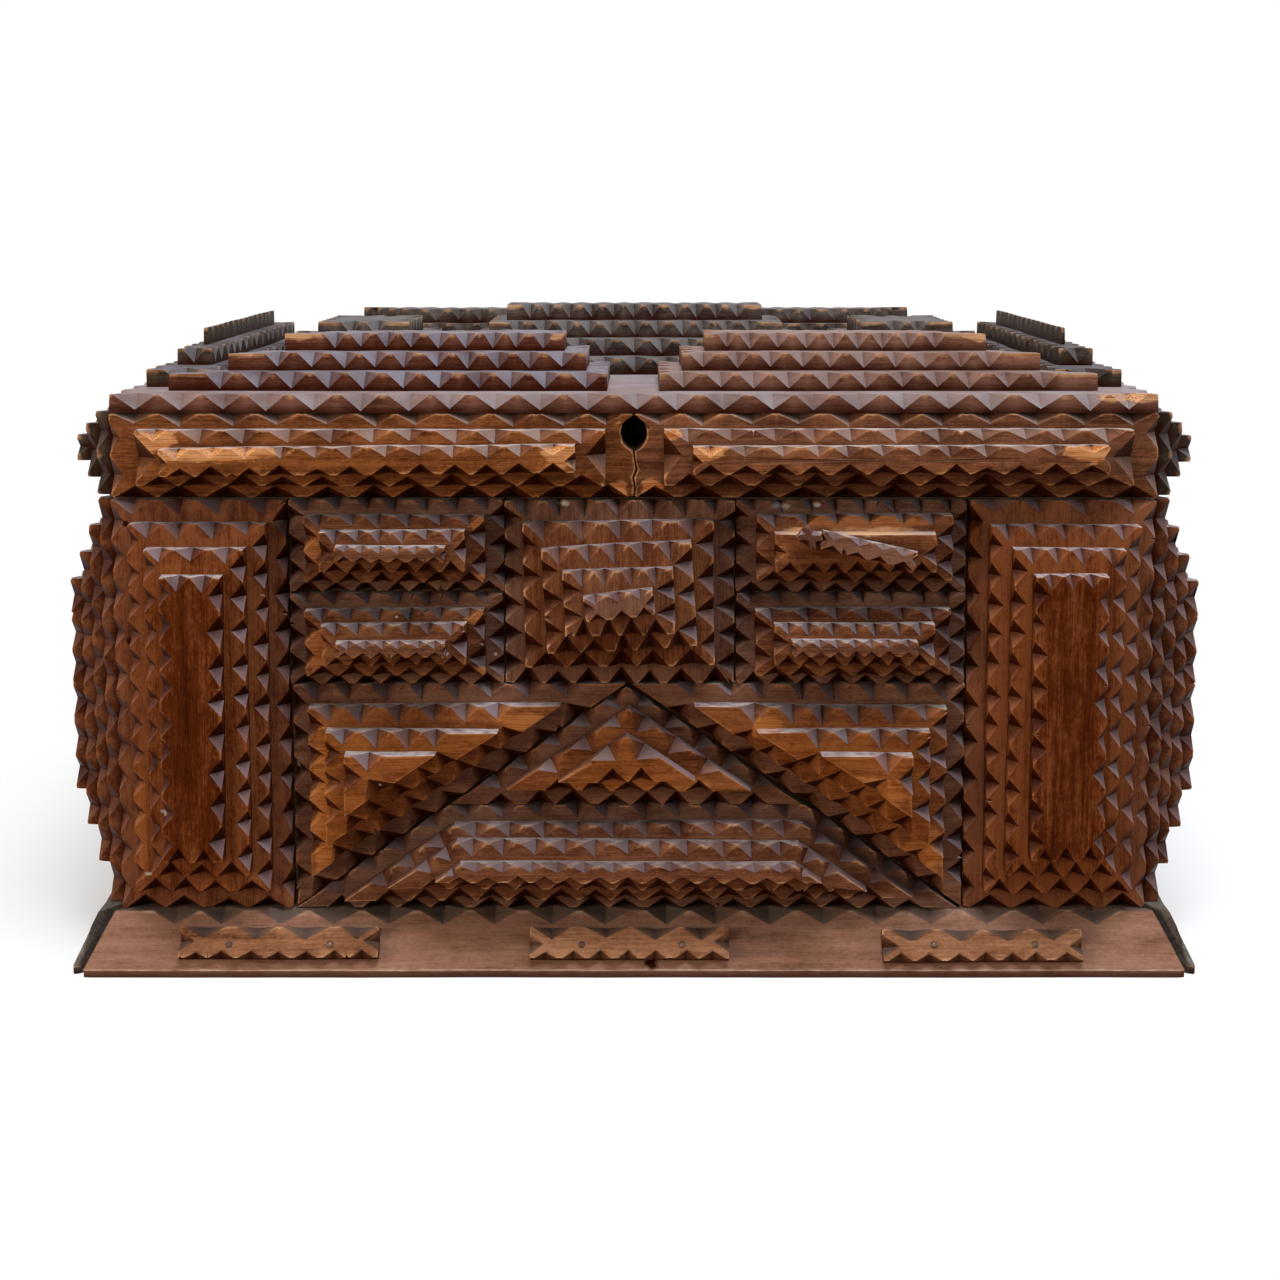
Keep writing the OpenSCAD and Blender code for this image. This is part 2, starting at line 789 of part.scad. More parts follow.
// Leaf with its knuckles on the side (-1 below the pin, 1 above it)
module hinge_leaf(side) {
    own = (side < 0) ? [-1, 1] : [0];
    other = (side < 0) ? [0] : [-1, 1];
    color(brass)
        translate([0, hinge_y, joint_z])
            difference() {
                union() {
                    translate([-hinge_l / 2, -hinge_stand, (side < 0) ? -leaf_h : knuckle_gap / 2])
                        cube([hinge_l, leaf_t, leaf_h - knuckle_gap / 2]);
                    for (k = own)
                        knuckle(k, knuckle_r, 0);
                }
                for (k = other)
                    knuckle(k, knuckle_r + knuckle_gap, knuckle_gap);
                for (k = own)
                    knuckle(k, pin_dia / 2 + pin_clearance, knuckle_gap / 2);
                for (k = [-1, 1])
                    translate([k * leaf_screw_x, 0, side * leaf_screw_z])
                        rotate([90, 0, 0])
                            cylinder(d = screw_dia + 2 * screw_clearance, h = hinge_stand + past);
            }
}
// Cylinder in the place of knuckle k, longer by extra at each end
module knuckle(k, r, extra) {
    translate([k * (knuckle_l + knuckle_gap) - knuckle_l / 2 - extra, 0, 0])
        rotate([0, 90, 0])
            cylinder(r = r, h = knuckle_l + 2 * extra);
}
module hinge_pin() {
    color(steel)
        translate([-hinge_l / 2, hinge_y, joint_z])
            rotate([0, 90, 0])
                cylinder(d = pin_dia, h = hinge_l);
}

// Screw along -Y with its head's seat at the origin
module screw(length) {
    color(steel)
        rotate([90, 0, 0]) {
            cylinder(d = screw_dia, h = length);
            translate([0, 0, -screw_head_h])
                cylinder(d = screw_head_dia, h = screw_head_h);
        }
}
module hinge_screws(side) {
    at_leaf_screws(side)
        translate([0, leaf_t + glue, 0])
            screw(screw_l + leaf_t);
}

// Lock

module at_lock_screws() {
    for (k = [-1, 1])
        translate([k * lock_screw_x, plate_y, lock_z + lock_h / 2])
            children();
}
module at_staple_screws() {
    for (k = [-1, 1])
        translate([staple_x + staple_t / 2 + k * staple_screw_dx, inner_front,
            carcass_h - staple_plate_h / 2])
            children();
}
module lock_plate() {
    color(brass) {
        difference() {
            translate([-lock_plate_l / 2, inner_front, lock_z])
                cube([lock_plate_l, lock_plate_t, lock_h]);
            keyhole(inner_front - past, plate_y + past);
            at_lock_screws()
                translate([0, past, 0])
                    rotate([90, 0, 0])
                        cylinder(d = screw_dia + 2 * screw_clearance, h = lock_plate_t + 2 * past);
        }
        translate([stump_x, plate_y - lock_plate_t / 2, bolt_low + bolt_h / 2])
            rotate([-90, 0, 0])
                cylinder(d = stump_dia, h = lock_plate_t / 2 + lock_cap_d - lock_wall - bolt_clearance);
    }
}
module lock_cap() {
    color(brass)
        difference() {
            translate([-lock_cap_left, plate_y, lock_z])
                cube([lock_cap_left + lock_cap_right, lock_cap_d, lock_h]);
            translate([-lock_cap_left + lock_wall, plate_y - past, lock_z + lock_wall])
                cube([
                    lock_cap_left + lock_cap_right - 2 * lock_wall,
                    lock_cap_d - lock_wall + past,
                    lock_h - 2 * lock_wall
                ]);
            translate([0, bolt_front - bolt_clearance, bolt_low - bolt_clearance])
                cube([lock_cap_right + past, bolt_t + 2 * bolt_clearance, bolt_h + 2 * bolt_clearance]);
        }
}
module lock_screws() {
    at_lock_screws()
        translate([0, glue, 0])
            screw(screw_l + lock_plate_t);
}

// Bolt with a slot for the stump and a notch for the key
module lock_bolt() {
    slot_w = stump_dia + 2 * bolt_clearance;
    slot_end = stump_x - bolt_travel;
    color(brass)
        difference() {
            translate([bolt_left, bolt_front, bolt_low])
                cube([bolt_right - bolt_left, bolt_t, bolt_h]);
            translate([slot_end, bolt_front - past, bolt_low + bolt_h / 2 - slot_w / 2])
                cube([bolt_travel, bolt_t + 2 * past, slot_w]);
            for (x = [slot_end, stump_x])
                translate([x, bolt_front - past, bolt_low + bolt_h / 2])
                    rotate([-90, 0, 0])
                        cylinder(d = slot_w, h = bolt_t + 2 * past);
            translate([-keyhole_w / 2, bolt_front - past, bolt_low + bolt_h - talon_d])
                cube([keyhole_w, bolt_t + 2 * past, talon_d + past]);
        }
}

// Staple: a plate on the carcass with an eye that stands up into the lid
module lock_staple() {
    plate_low = carcass_h - staple_plate_h;
    middle = staple_x + staple_t / 2;
    color(brass)
        difference() {
            union() {
                translate([middle - staple_plate_w / 2, inner_front, plate_low])
                    cube([staple_plate_w, lock_plate_t, staple_plate_h]);
                translate([staple_x, inner_front, plate_low])
                    cube([staple_t, eye_rear + staple_wall - inner_front, staple_plate_h]);
                translate([staple_x, eye_front - staple_wall, carcass_h - past])
                    cube([
                        staple_t,
                        eye_rear - eye_front + 2 * staple_wall,
                        eye_high + staple_wall - carcass_h + past
                    ]);
            }
            translate([staple_x - past, eye_front, eye_low])
                cube([staple_t + 2 * past, eye_rear - eye_front, eye_high - eye_low]);
            at_staple_screws()
                translate([0, lock_plate_t + past, 0])
                    rotate([90, 0, 0])
                        cylinder(d = screw_dia + 2 * screw_clearance, h = lock_plate_t + 2 * past);
        }
}
module staple_screws() {
    at_staple_screws()
        translate([0, lock_plate_t + glue, 0])
            screw(screw_l + lock_plate_t);
}

front_board();
back_board();
side_board(-1);  // left_board
side_board(1);  // right_board
bottom_board();
front_plinth();
back_plinth();
left_plinth();
right_plinth();
front_plinth_strips();
side_plinth_strips();
pilaster(col_0, col_1);  // left_pilaster
pilaster(col_4, col_5);  // right_pilaster
upper_panel(col_1, col_2, row_2, row_3);  // upper_left_top_panel
upper_panel(col_1, col_2, row_1, row_2);  // upper_left_bottom_panel
upper_panel(col_3, col_4, row_2, row_3);  // upper_right_top_panel
upper_panel(col_3, col_4, row_1, row_2);  // upper_right_bottom_panel
centre_panel();
lower_left_triangle();
lower_right_triangle();
lower_centre_triangle();
lower_trapezoid();
on_left() side_stack();  // left_side_stack
on_right() side_stack();  // right_side_stack
back_panel();
translate([-hinge_x, 0, 0]) hinge_leaf(-1);  // left_hinge_body_leaf
translate([hinge_x, 0, 0]) hinge_leaf(-1);  // right_hinge_body_leaf
translate([-hinge_x, 0, 0]) hinge_pin();  // left_hinge_pin
translate([hinge_x, 0, 0]) hinge_pin();  // right_hinge_pin
hinge_screws(-1);  // body_hinge_screws
lock_staple();
staple_screws();
lid_board();
lid_front_rail();
lid_back_rail();
lid_side_rail(-1);  // lid_left_rail
lid_side_rail(1);  // lid_right_rail
mirror([1, 0, 0]) lid_face_half();  // lid_front_left_face
lid_face_half();  // lid_front_right_face
mirror([1, 0, 0]) lid_face_stack();  // lid_front_left_stack
lid_face_stack();  // lid_front_right_stack
on_left() lid_side_stack();  // lid_left_stack
on_right() lid_side_stack();  // lid_right_stack
lid_back_panel();
mirror([1, 0, 0]) corner_stack();  // top_front_left_stack
corner_stack();  // top_front_right_stack
rotate([0, 0, 180]) corner_stack();  // top_back_left_stack
mirror([0, 1, 0]) corner_stack();  // top_back_right_stack
mirror([1, 0, 0]) top_side_strip();  // top_left_strip
top_side_strip();  // top_right_strip
top_centre_stack();
mirror([1, 0, 0]) top_mid_stack();  // top_left_stack
top_mid_stack();  // top_right_stack
translate([-hinge_x, 0, 0]) hinge_leaf(1);  // left_hinge_lid_leaf
translate([hinge_x, 0, 0]) hinge_leaf(1);  // right_hinge_lid_leaf
hinge_screws(1);  // lid_hinge_screws
lock_plate();
lock_cap();
lock_screws();
lock_bolt();
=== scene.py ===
# %% [markdown]
# # A tramp art box
# The box is a plain hinged case, dressed with thin wood from old cigar boxes. Each panel is a
# stack of layers that step inwards, and a row of V-shaped chips is cut along every edge.
# The CAD model gives every size, so this lesson loads it first and builds the carved, worn and
# varnished wood on top of it. Lengths in the lesson are in millimetres, as on the drawing.

# %% Load the frame
import math

import bpy
import numpy as np
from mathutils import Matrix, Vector


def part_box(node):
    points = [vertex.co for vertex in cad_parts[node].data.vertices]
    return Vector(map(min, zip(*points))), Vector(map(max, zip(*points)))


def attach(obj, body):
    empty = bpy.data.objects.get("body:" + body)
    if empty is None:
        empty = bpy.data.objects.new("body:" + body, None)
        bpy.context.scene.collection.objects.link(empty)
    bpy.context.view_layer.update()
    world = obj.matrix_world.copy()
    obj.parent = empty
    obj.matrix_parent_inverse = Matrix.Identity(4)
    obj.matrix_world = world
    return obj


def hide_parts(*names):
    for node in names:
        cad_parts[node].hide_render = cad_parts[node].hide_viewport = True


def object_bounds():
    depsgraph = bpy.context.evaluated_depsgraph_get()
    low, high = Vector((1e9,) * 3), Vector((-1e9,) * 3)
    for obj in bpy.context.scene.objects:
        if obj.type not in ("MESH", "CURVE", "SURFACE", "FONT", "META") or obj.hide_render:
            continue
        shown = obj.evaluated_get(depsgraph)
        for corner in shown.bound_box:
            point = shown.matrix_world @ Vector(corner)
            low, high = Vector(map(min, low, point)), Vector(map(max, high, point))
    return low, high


MM = 0.001
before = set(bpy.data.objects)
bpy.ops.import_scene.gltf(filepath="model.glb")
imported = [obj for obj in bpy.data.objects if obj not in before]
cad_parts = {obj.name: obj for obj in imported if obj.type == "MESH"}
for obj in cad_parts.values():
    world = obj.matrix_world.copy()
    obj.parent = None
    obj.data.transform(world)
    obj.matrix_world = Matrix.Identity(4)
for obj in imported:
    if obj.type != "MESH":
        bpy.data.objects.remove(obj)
cad_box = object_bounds()
print("CAD box in mm:", [[round(c / MM, 1) for c in corner] for corner in cad_box])

# %% [markdown]
# ## Camera
# The photograph was taken from the front, from above the lid, with the camera held level enough
# that the uprights stay almost parallel. A full lens shift would copy that, but it would push
# the box out of the frame in other views, so about half of the drop is shift and the rest is tilt.

# %% Place the camera
EYE = (1.5, -539.5, 188.4)
LENS = 51.5
SENSOR = 36.0
DROP = math.radians(13.25)
SHIFT = 0.18

camera_data = bpy.data.cameras.new("photo_camera")
camera_data.lens = LENS
camera_data.sensor_width = SENSOR
camera_data.shift_y = -SHIFT
tilt = DROP - math.atan(SHIFT * SENSOR / LENS)
camera = bpy.data.objects.new("photo_camera", camera_data)
camera.location = [c * MM for c in EYE]
camera.rotation_euler = (math.pi / 2 - tilt, 0, 0)
bpy.context.scene.collection.objects.link(camera)
bpy.context.scene.camera = camera
bpy.context.scene.view_settings.view_transform = "Standard"
print("camera tilt in degrees:", round(math.degrees(tilt), 2))

# %% [markdown]
# ## Nodes
# The light, the floor and every finish are networks of small nodes: each node takes numbers or
# colours in and gives one out. These helpers add a node, fill its sockets and hand back what it
# gives, so that a recipe further on reads like arithmetic.

# %% Small helpers for nodes
def plug(tree, socket, value):
    """Links a socket to another node's output, or sets it to a plain value."""
    if isinstance(value, bpy.types.NodeSocket):
        tree.links.new(value, socket)
    else:
        socket.default_value = value


def add_node(tree, kind, **sockets):
    """Adds a node and fills its sockets by name; an underscore stands for a space."""
    made = tree.nodes.new(kind)
    for label, value in sockets.items():
        plug(tree, made.inputs[label.replace("_", " ")], value)
    return made


def calc(tree, operation, *terms):
    """One step of arithmetic on numbers or sockets."""
    made = tree.nodes.new("ShaderNodeMath")
    made.operation = operation
    for socket, term in zip(made.inputs, terms):
        plug(tree, socket, term)
    return made.outputs[0]


def weigh(tree, start, known, weights):
    """Sum of start and of known value * weight for each name in a table of weights."""
    total = start
    for name, weight in weights.items():
        total = calc(tree, "MULTIPLY_ADD", known[name], weight, total)
    return total


def ease(tree, value, low, high):
    """Goes from 0 to 1 while value goes from low to high."""
    made = add_node(tree, "ShaderNodeMapRange", Value=value, From_Min=low, From_Max=high)
    return made.outputs["Result"]


def length_of(tree, vector):
    """Length of a vector."""
    made = add_node(tree, "ShaderNodeVectorMath", Vector=vector)
    made.operation = "LENGTH"
    return made.outputs["Value"]


def blend(tree, amount, first, second):
    """Mixes two colours: 0 gives the first and 1 the second."""
    made = tree.nodes.new("ShaderNodeMix")
    made.data_type = "RGBA"
    plug(tree, made.inputs["Factor"], amount)
    for socket, colour in zip([s for s in made.inputs if s.type == "RGBA"], (first, second)):
        plug(tree, socket, colour if isinstance(colour, bpy.types.NodeSocket) else (*colour, 1))
    return next(s for s in made.outputs if s.type == "RGBA")


def join_shaders(tree, amount, first, second):
    """Mixes two shaders: 0 gives the first and 1 the second."""
    made = tree.nodes.new("ShaderNodeMixShader")
    for socket, output in zip(made.inputs, (amount, first, second)):
        plug(tree, socket, output)
    return made.outputs[0]

# %% Start a material or an object
def start_material(name):
    """A new material and its network of nodes."""
    material = bpy.data.materials.new(name)
    material.use_nodes = True
    return material, material.node_tree


def add_object(name, points, faces, material):
    """Makes a smooth object from points in millimetres and faces, in one finish."""
    mesh = bpy.data.meshes.new(name)
    mesh.from_pydata((points * MM).tolist(), [], faces)
    mesh.polygons.foreach_set("use_smooth", np.ones(len(faces), bool))
    mesh.materials.append(material)
    made = bpy.data.objects.new(name, mesh)
    bpy.context.scene.collection.objects.link(made)
    return made

# %% [markdown]
# ## Light and floor
# The photograph has a white ground and broad, cool light from above, which gives a bluish tint
# to every facet that looks up. Here a wide cool panel hangs above the box, a small cool one
# stands on the right and a warm one on the left, and a pale world fills the shade.
# Rays that look at the world see it plain white, so the ground is white without more light.

# %% Light the studio
SEEN_RAYS = ("Is Camera Ray", "Is Glossy Ray", "Is Transmission Ray")
SHADE_LIGHT = 0.18


def looked_at(tree):
    """1 for rays that look, also in a gloss or through glass, and 0 for rays that only carry light."""
    paths = tree.nodes.new("ShaderNodeLightPath")
    seen = paths.outputs[SEEN_RAYS[0]]
    for kind in SEEN_RAYS[1:]:
        seen = calc(tree, "MAXIMUM", seen, paths.outputs[kind])
    return seen


def area_lamp(name, place, aim, width, power, colour):
    """A square lamp at place that looks at aim; all lengths in millimetres."""
    data = bpy.data.lights.new(name, "AREA")
    data.size = width * MM
    data.energy = power
    data.color = colour
    lamp = bpy.data.objects.new(name, data)
    lamp.location = [c * MM for c in place]
    look = Vector(aim) - Vector(place)
    lamp.rotation_euler = look.to_track_quat("-Z", "Y").to_euler()
    bpy.context.scene.collection.objects.link(lamp)


area_lamp("sky_panel", place=(80, -300, 900), aim=(0, -40, 70), width=420, power=10.0,
          colour=(0.88, 0.93, 1.0))
area_lamp("right_panel", place=(900, -450, 480), aim=(0, 0, 70), width=260, power=3.0,
          colour=(0.82, 0.89, 1.0))
area_lamp("left_panel", place=(-900, -600, 240), aim=(0, 0, 70), width=360, power=6.4,
          colour=(1.0, 0.88, 0.72))

world = bpy.data.worlds.new("studio")
bpy.context.scene.world = world
world.use_nodes = True
air = world.node_tree
level = add_node(air, "ShaderNodeMapRange", Value=looked_at(air), To_Min=SHADE_LIGHT)
background = air.nodes["Background"]
plug(air, background.inputs["Color"], (1, 1, 1, 1))
plug(air, background.inputs["Strength"], level.outputs["Result"])
print("three lamps and a pale world")

# %% [markdown]
# The floor is one large pale sheet, a single quad. Near the box it is matt paper, which takes
# the shadow of the plinth, and further out it is plain white, so that no grey horizon shows.
# White paper would throw much light up under the teeth, where old varnish is dark and warm. So
# only rays that look at the floor see white, and rays that carry light find a warm brown.

# %% Lay the floor
FLOOR_HALF = 4000
SHADOW_NEAR, SHADOW_FAR = 160, 240
GLOW_NEAR = 0.5
WHITE_PAPER, WARM_BELOW = (0.95, 0.95, 0.95, 1), (0.30, 0.17, 0.10, 1)

paper, sheet = start_material("white_paper")
white = add_node(sheet, "ShaderNodeBsdfDiffuse", Color=WHITE_PAPER)
below = add_node(sheet, "ShaderNodeBsdfDiffuse", Color=WARM_BELOW)
glow = sheet.nodes.new("ShaderNodeEmission")
spot = sheet.nodes.new("ShaderNodeTexCoord")
fade = add_node(sheet, "ShaderNodeMapRange", Value=length_of(sheet, spot.outputs["Object"]),
                From_Min=SHADOW_NEAR * MM, From_Max=SHADOW_FAR * MM, To_Min=GLOW_NEAR)
ground = join_shaders(sheet, fade.outputs["Result"], white.outputs[0], glow.outputs[0])
ground = join_shaders(sheet, looked_at(sheet), below.outputs[0], ground)
plug(sheet, sheet.nodes["Material Output"].inputs["Surface"], ground)
corners = np.array([[-1, -1, 0], [1, -1, 0], [1, 1, 0], [-1, 1, 0]]) * FLOOR_HALF
floor = add_object("floor", corners, [[0, 1, 2, 3]], paper)
print("floor", FLOOR_HALF * 2, "mm wide")

# %% [markdown]
# ## Old varnished wood
# All of the wood is one finish in several tones: soft brown wood with long grain, a reddish varnish that
# is rubbed off the points of the teeth, dirt and painted shade in the hollows, and dust with a painted
# sheen on what looks up. The layers at the back are duller and browner than the rest.
# A painted picture would stretch over the small facets, so the finish is worked out from numbers
# that each piece carries in its mesh: where the grain runs, the tone of its layer, how worn a
# point is, how deep in a hollow it lies and how dull its layer is.

# %% Noise, carried numbers and marked places
RAGGED = 1.2
BORDER = (1.6, 1.1)


def speckle(tree, place, per_mm, detail):
    """Smooth noise around 0.5, with its own number of waves per millimetre along each axis."""
    grid = add_node(tree, "ShaderNodeMapping", Vector=place, Scale=per_mm)
    noise = add_node(tree, "ShaderNodeTexNoise", Vector=grid.outputs[0], Scale=1.0, Detail=detail)
    return noise.outputs[0]


def carried(tree, name, output="Fac"):
    """A number or a place that the mesh carries at each point."""
    made = tree.nodes.new("ShaderNodeAttribute")
    made.attribute_name = name
    return made.outputs[output]


def near_places(tree, spot, ragged, places):
    """1 inside any of some ellipsoids (middle, half sizes) in millimetres, 0 outside, with a ragged
    border: the distance from a middle is counted in half sizes, and noise is added to it."""
    most = 0.0
    for middle, half in places:
        grid = add_node(tree, "ShaderNodeMapping", Vector=spot.outputs["Object"],
                        Location=[c * MM for c in middle], Scale=[c * MM for c in half])
        grid.vector_type = "TEXTURE"
        away = calc(tree, "MULTIPLY_ADD", ragged, RAGGED, length_of(tree, grid.outputs[0]))
        most = calc(tree, "MAXIMUM", most, ease(tree, away, *BORDER))
    return most

# %% [markdown]
# The colour of a spot starts from the grain: wide streaks, fine fibres, clouds and blotches of varnish,
# grit and the tone of its own layer. Dull layers fade to brown, and the hollows darken with dirt and
# painted shade. Boards that come straight from the CAD model carry no numbers, so for them the grain
# follows one of the axes.

# %% Colour the grain
NOISES = {"streak": ((0.022, 0.42, 0.42), 3.0), "fibre": ((0.10, 3.2, 3.2), 2.0),
          "cloud": ((0.06, 0.10, 0.10), 2.0), "blotch": ((0.35, 0.60, 0.60), 4.0),
          "grit": ((0.9, 1.8, 1.8), 3.0)}
FIGURE_START = -1.35
FIGURE = {"streak": 0.9, "fibre": 0.7, "cloud": 0.6, "blotch": 0.5, "grit": 0.6, "tone": 0.6}
RAMP_STOPS = (0.10, 0.5, 0.95)
DULL_DARK, DULL_BRIGHT = (0.066, 0.023, 0.012), (0.190, 0.106, 0.078)
DULL_RANGE, DULL_LOSS = (0.1, 0.9), -0.8
# A near-black colour darkens the hollows by depth: partly real dirt, partly painted shade.
DIRT_AND_SHADE, HOLLOW_DIRT_AND_SHADE = (0.020, 0.0022, 0.0004), 0.95
PLAIN_NUMBERS = {"tone": 0.5, "worn": 0.0, "deep": 0.0, "dull": 0.0}
GRAIN_TURN = {"x": 0, "y": math.pi / 2}


def grain_place(tree, spot, along):
    """Place in the grain's own axes, in millimetres: from the mesh, or along one of the box's axes."""
    if along is None:
        return carried(tree, "grain", "Vector")
    turned = add_node(tree, "ShaderNodeMapping", Vector=spot.outputs["Object"],
                      Rotation=(0, 0, GRAIN_TURN[along]), Scale=(1 / MM, 1 / MM, 1 / MM))
    return turned.outputs[0]


def grain_colour(tree, known, grain):
    """Three colours of grain on a ramp of noises and tone, then brown by dullness, and dirt with painted
    shade by depth.
    """
    figure = weigh(tree, FIGURE_START, known, FIGURE)
    ramp = add_node(tree, "ShaderNodeValToRGB", Fac=figure)
    stops = ramp.color_ramp.elements
    stops.new(RAMP_STOPS[1])
    for stop, place, colour in zip(stops, RAMP_STOPS, grain):
        stop.position = place
        stop.color = (*colour, 1)
    brown = blend(tree, ease(tree, figure, *DULL_RANGE), DULL_DARK, DULL_BRIGHT)
    open_share = calc(tree, "MULTIPLY_ADD", known["deep"], DULL_LOSS, 1.0)
    colour = blend(tree, calc(tree, "MULTIPLY", known["dull"], open_share), ramp.outputs["Color"], brown)
    return blend(tree, calc(tree, "MULTIPLY", known["deep"], HOLLOW_DIRT_AND_SHADE), colour, DIRT_AND_SHADE)

# %% [markdown]
# Bare wood shows where the varnish is rubbed off a point or broken off with a splinter, and its fibres
# show as light lines; the most worn points take the palest colour as a painted glint. What faces down is
# darkened as painted shade. Dust lies on what faces up, and on facets turned towards the light of a window
# on the right it is also a painted sheen of that light. A thin flat ledge is left behind each row of
# chips, and there lies a pale painted highlight.

# %% Rub the varnish, settle the dust and paint the light
BARE, PALE_AND_GLINT = (0.270, 0.085, 0.022), (0.560, 0.320, 0.165)
RUB = {"worn": 1.0, "broken": 1.3, "blotch": 0.8, "cloud": 0.4}
RUB_RANGE, RUB_MOST = (1.15, 1.7), 0.9
# Worn points lean to the paler colour, which is a painted glint on the tips of the teeth.
LINES, LINE_RANGE = {"fibre": 0.6, "streak": 0.4, "worn": 0.08}, (0.42, 0.60)
WINDOW, WINDOW_RANGE = (0.45, 0.0, 0.89), (0.42, 0.8)
DOWN_RANGE, DOWN_SHADE = (-0.05, -0.5), 0.9
CLOUD_RANGE, BROKEN_LOSS = (0.1, 0.6), -0.85
FLAT_RANGE, LEDGE_RANGE = (0.90, 0.98), (0.35, 0.6)
LEDGE_HIGHLIGHT = (0.62, 0.52, 0.46)


def rub_bare(tree, known, colour, bare):
    """Bare wood by wear and broken places, in two colours that follow the fibres; the paler one leans to
    worn points and is partly a painted glint.
    """
    rubbed = ease(tree, weigh(tree, 0.0, known, RUB), *RUB_RANGE)
    lines = ease(tree, weigh(tree, 0.0, known, LINES), *LINE_RANGE)
    return blend(tree, calc(tree, "MULTIPLY", rubbed, RUB_MOST), colour, blend(tree, lines, *bare))


def settle_dust_paint_light(tree, known, normal, colour, dust, share, facing_range, window_share, ledge_highlight):
    """Painted shade under what faces down, a dust colour that is also a painted sheen on what faces up,
    most towards the window, and a painted highlight on flat ledges; gives the colour and how much of the
    dust colour it takes.
    """
    facing = add_node(tree, "ShaderNodeSeparateXYZ", Vector=normal).outputs["Z"]
    window = add_node(tree, "ShaderNodeVectorMath", Vector=normal)
    window.operation = "DOT_PRODUCT"
    window.inputs[1].default_value = WINDOW
    known["lit"] = ease(tree, window.outputs["Value"], *WINDOW_RANGE)
    # Painted shade: what faces down is darkened towards the colour of the hollows.
    under = calc(tree, "MULTIPLY", ease(tree, facing, *DOWN_RANGE), DOWN_SHADE)
    colour = blend(tree, under, colour, DIRT_AND_SHADE)
    cloud, blotch = ease(tree, known["cloud"], *CLOUD_RANGE), ease(tree, known["blotch"], *LEDGE_RANGE)
    # Dust on what faces up, which is also a painted sheen: facets turned towards the window on the right
    # take the most.
    dusty = calc(tree, "MULTIPLY", ease(tree, facing, *facing_range), cloud)
    kept = weigh(tree, 1 - window_share, known, {"lit": window_share, "broken": BROKEN_LOSS})
    dusty = calc(tree, "MULTIPLY", dusty, kept)
    colour = blend(tree, calc(tree, "MULTIPLY", dusty, share), colour, dust)
    # Painted highlight: a pale line on flat ledges that face straight up.
    pale = calc(tree, "MULTIPLY", ease(tree, facing, *FLAT_RANGE), blotch)
    return blend(tree, calc(tree, "MULTIPLY", pale, ledge_highlight), colour, LEDGE_HIGHLIGHT), dusty

# %% Make the wood finish
VARNISH, VARNISH_TINT = 0.05, (1.0, 0.55, 0.35)
SMOOTHER, GLOSS = -0.10, {"fibre": 0.12, "blotch": 0.12, "dusty": 0.2}
RELIEF = {"fibre": 0.5, "blotch": 0.5, "grit": 0.4}
BUMP_SHARE, BUMP_DEPTH = 0.5, 0.3


def old_wood(name, grain, dust, share=0.8, facing_range=(0.12, 0.6), window_share=0.88, ledge_highlight=0.5,
             rough=0.38, along=None, bare_places=(), bare=(BARE, PALE_AND_GLINT), marks=()):
    """Varnished wood: coloured grain with bare wood, dirt, dust and marks on it, painted shade, sheen and
    highlights, and a fine relief.
    """
    material, tree = start_material(name)
    shader = tree.nodes["Principled BSDF"]
    spot = tree.nodes.new("ShaderNodeTexCoord")
    place = grain_place(tree, spot, along)
    known = {kind: speckle(tree, place, *settings) for kind, settings in NOISES.items()}
    known.update(PLAIN_NUMBERS if along else {label: carried(tree, label) for label in PLAIN_NUMBERS})
    known["broken"] = near_places(tree, spot, known["blotch"], bare_places)
    colour = rub_bare(tree, known, grain_colour(tree, known, grain), bare)
    colour, known["dusty"] = settle_dust_paint_light(
        tree, known, spot.outputs["Normal"], colour, dust, share, facing_range, window_share, ledge_highlight)
    for mark, places in marks:
        colour = blend(tree, near_places(tree, spot, known["blotch"], places), colour, mark)
    plug(tree, shader.inputs["Base Color"], colour)
    plug(tree, shader.inputs["Roughness"], weigh(tree, rough + SMOOTHER, known, GLOSS))
    relief = weigh(tree, 0.0, known, RELIEF)
    bump = add_node(tree, "ShaderNodeBump", Height=relief, Strength=BUMP_SHARE, Distance=BUMP_DEPTH * MM)
    plug(tree, shader.inputs["Normal"], bump.outputs[0])
    shader.inputs["Specular IOR Level"].default_value = VARNISH
    shader.inputs["Specular Tint"].default_value = (*VARNISH_TINT, 1)
    return material

# %% [markdown]
# The tones differ from place to place. The pilasters are dark red, the panels brown under dust and a
# painted sheen, the triangles orange, and many ends of layers are worn to bare wood, most of all on the
# lid's front. Each worn place, nail hole and fleck of paint is an ellipsoid: its middle and half sizes.

# %% Mark the worn places
LID_FRONT_BARE = [((-116, -98, 134), (6, 4, 4)), ((-101, -102, 131.4), (20, 4, 3.4)),
                  ((-18, -102, 131), (6, 4, 4)), ((9.5, -98, 136), (3.5, 4, 2.5)),
                  ((17, -102, 131.5), (6, 4, 3.2)), ((110, -102, 131.5), (7, 4, 3.6)),
                  ((-4, -94, 121.3), (3.2, 3, 2.6)), ((4.6, -94, 121.8), (3.2, 3, 3))]
TOP_LEFT_BARE = [((-86.5, -74, 157), (6.5, 7, 3)), ((-99, -82, 152.9), (4.5, 6, 2.5)),
                 ((-20.5, -74, 157), (5, 7, 3)), ((122, -94, 144.5), (10, 5, 2.5))]
TOP_RIGHT_BARE = [((89, -74, 157), (7, 7, 3.5)), ((100.5, -82, 153), (5, 6, 2.5))]
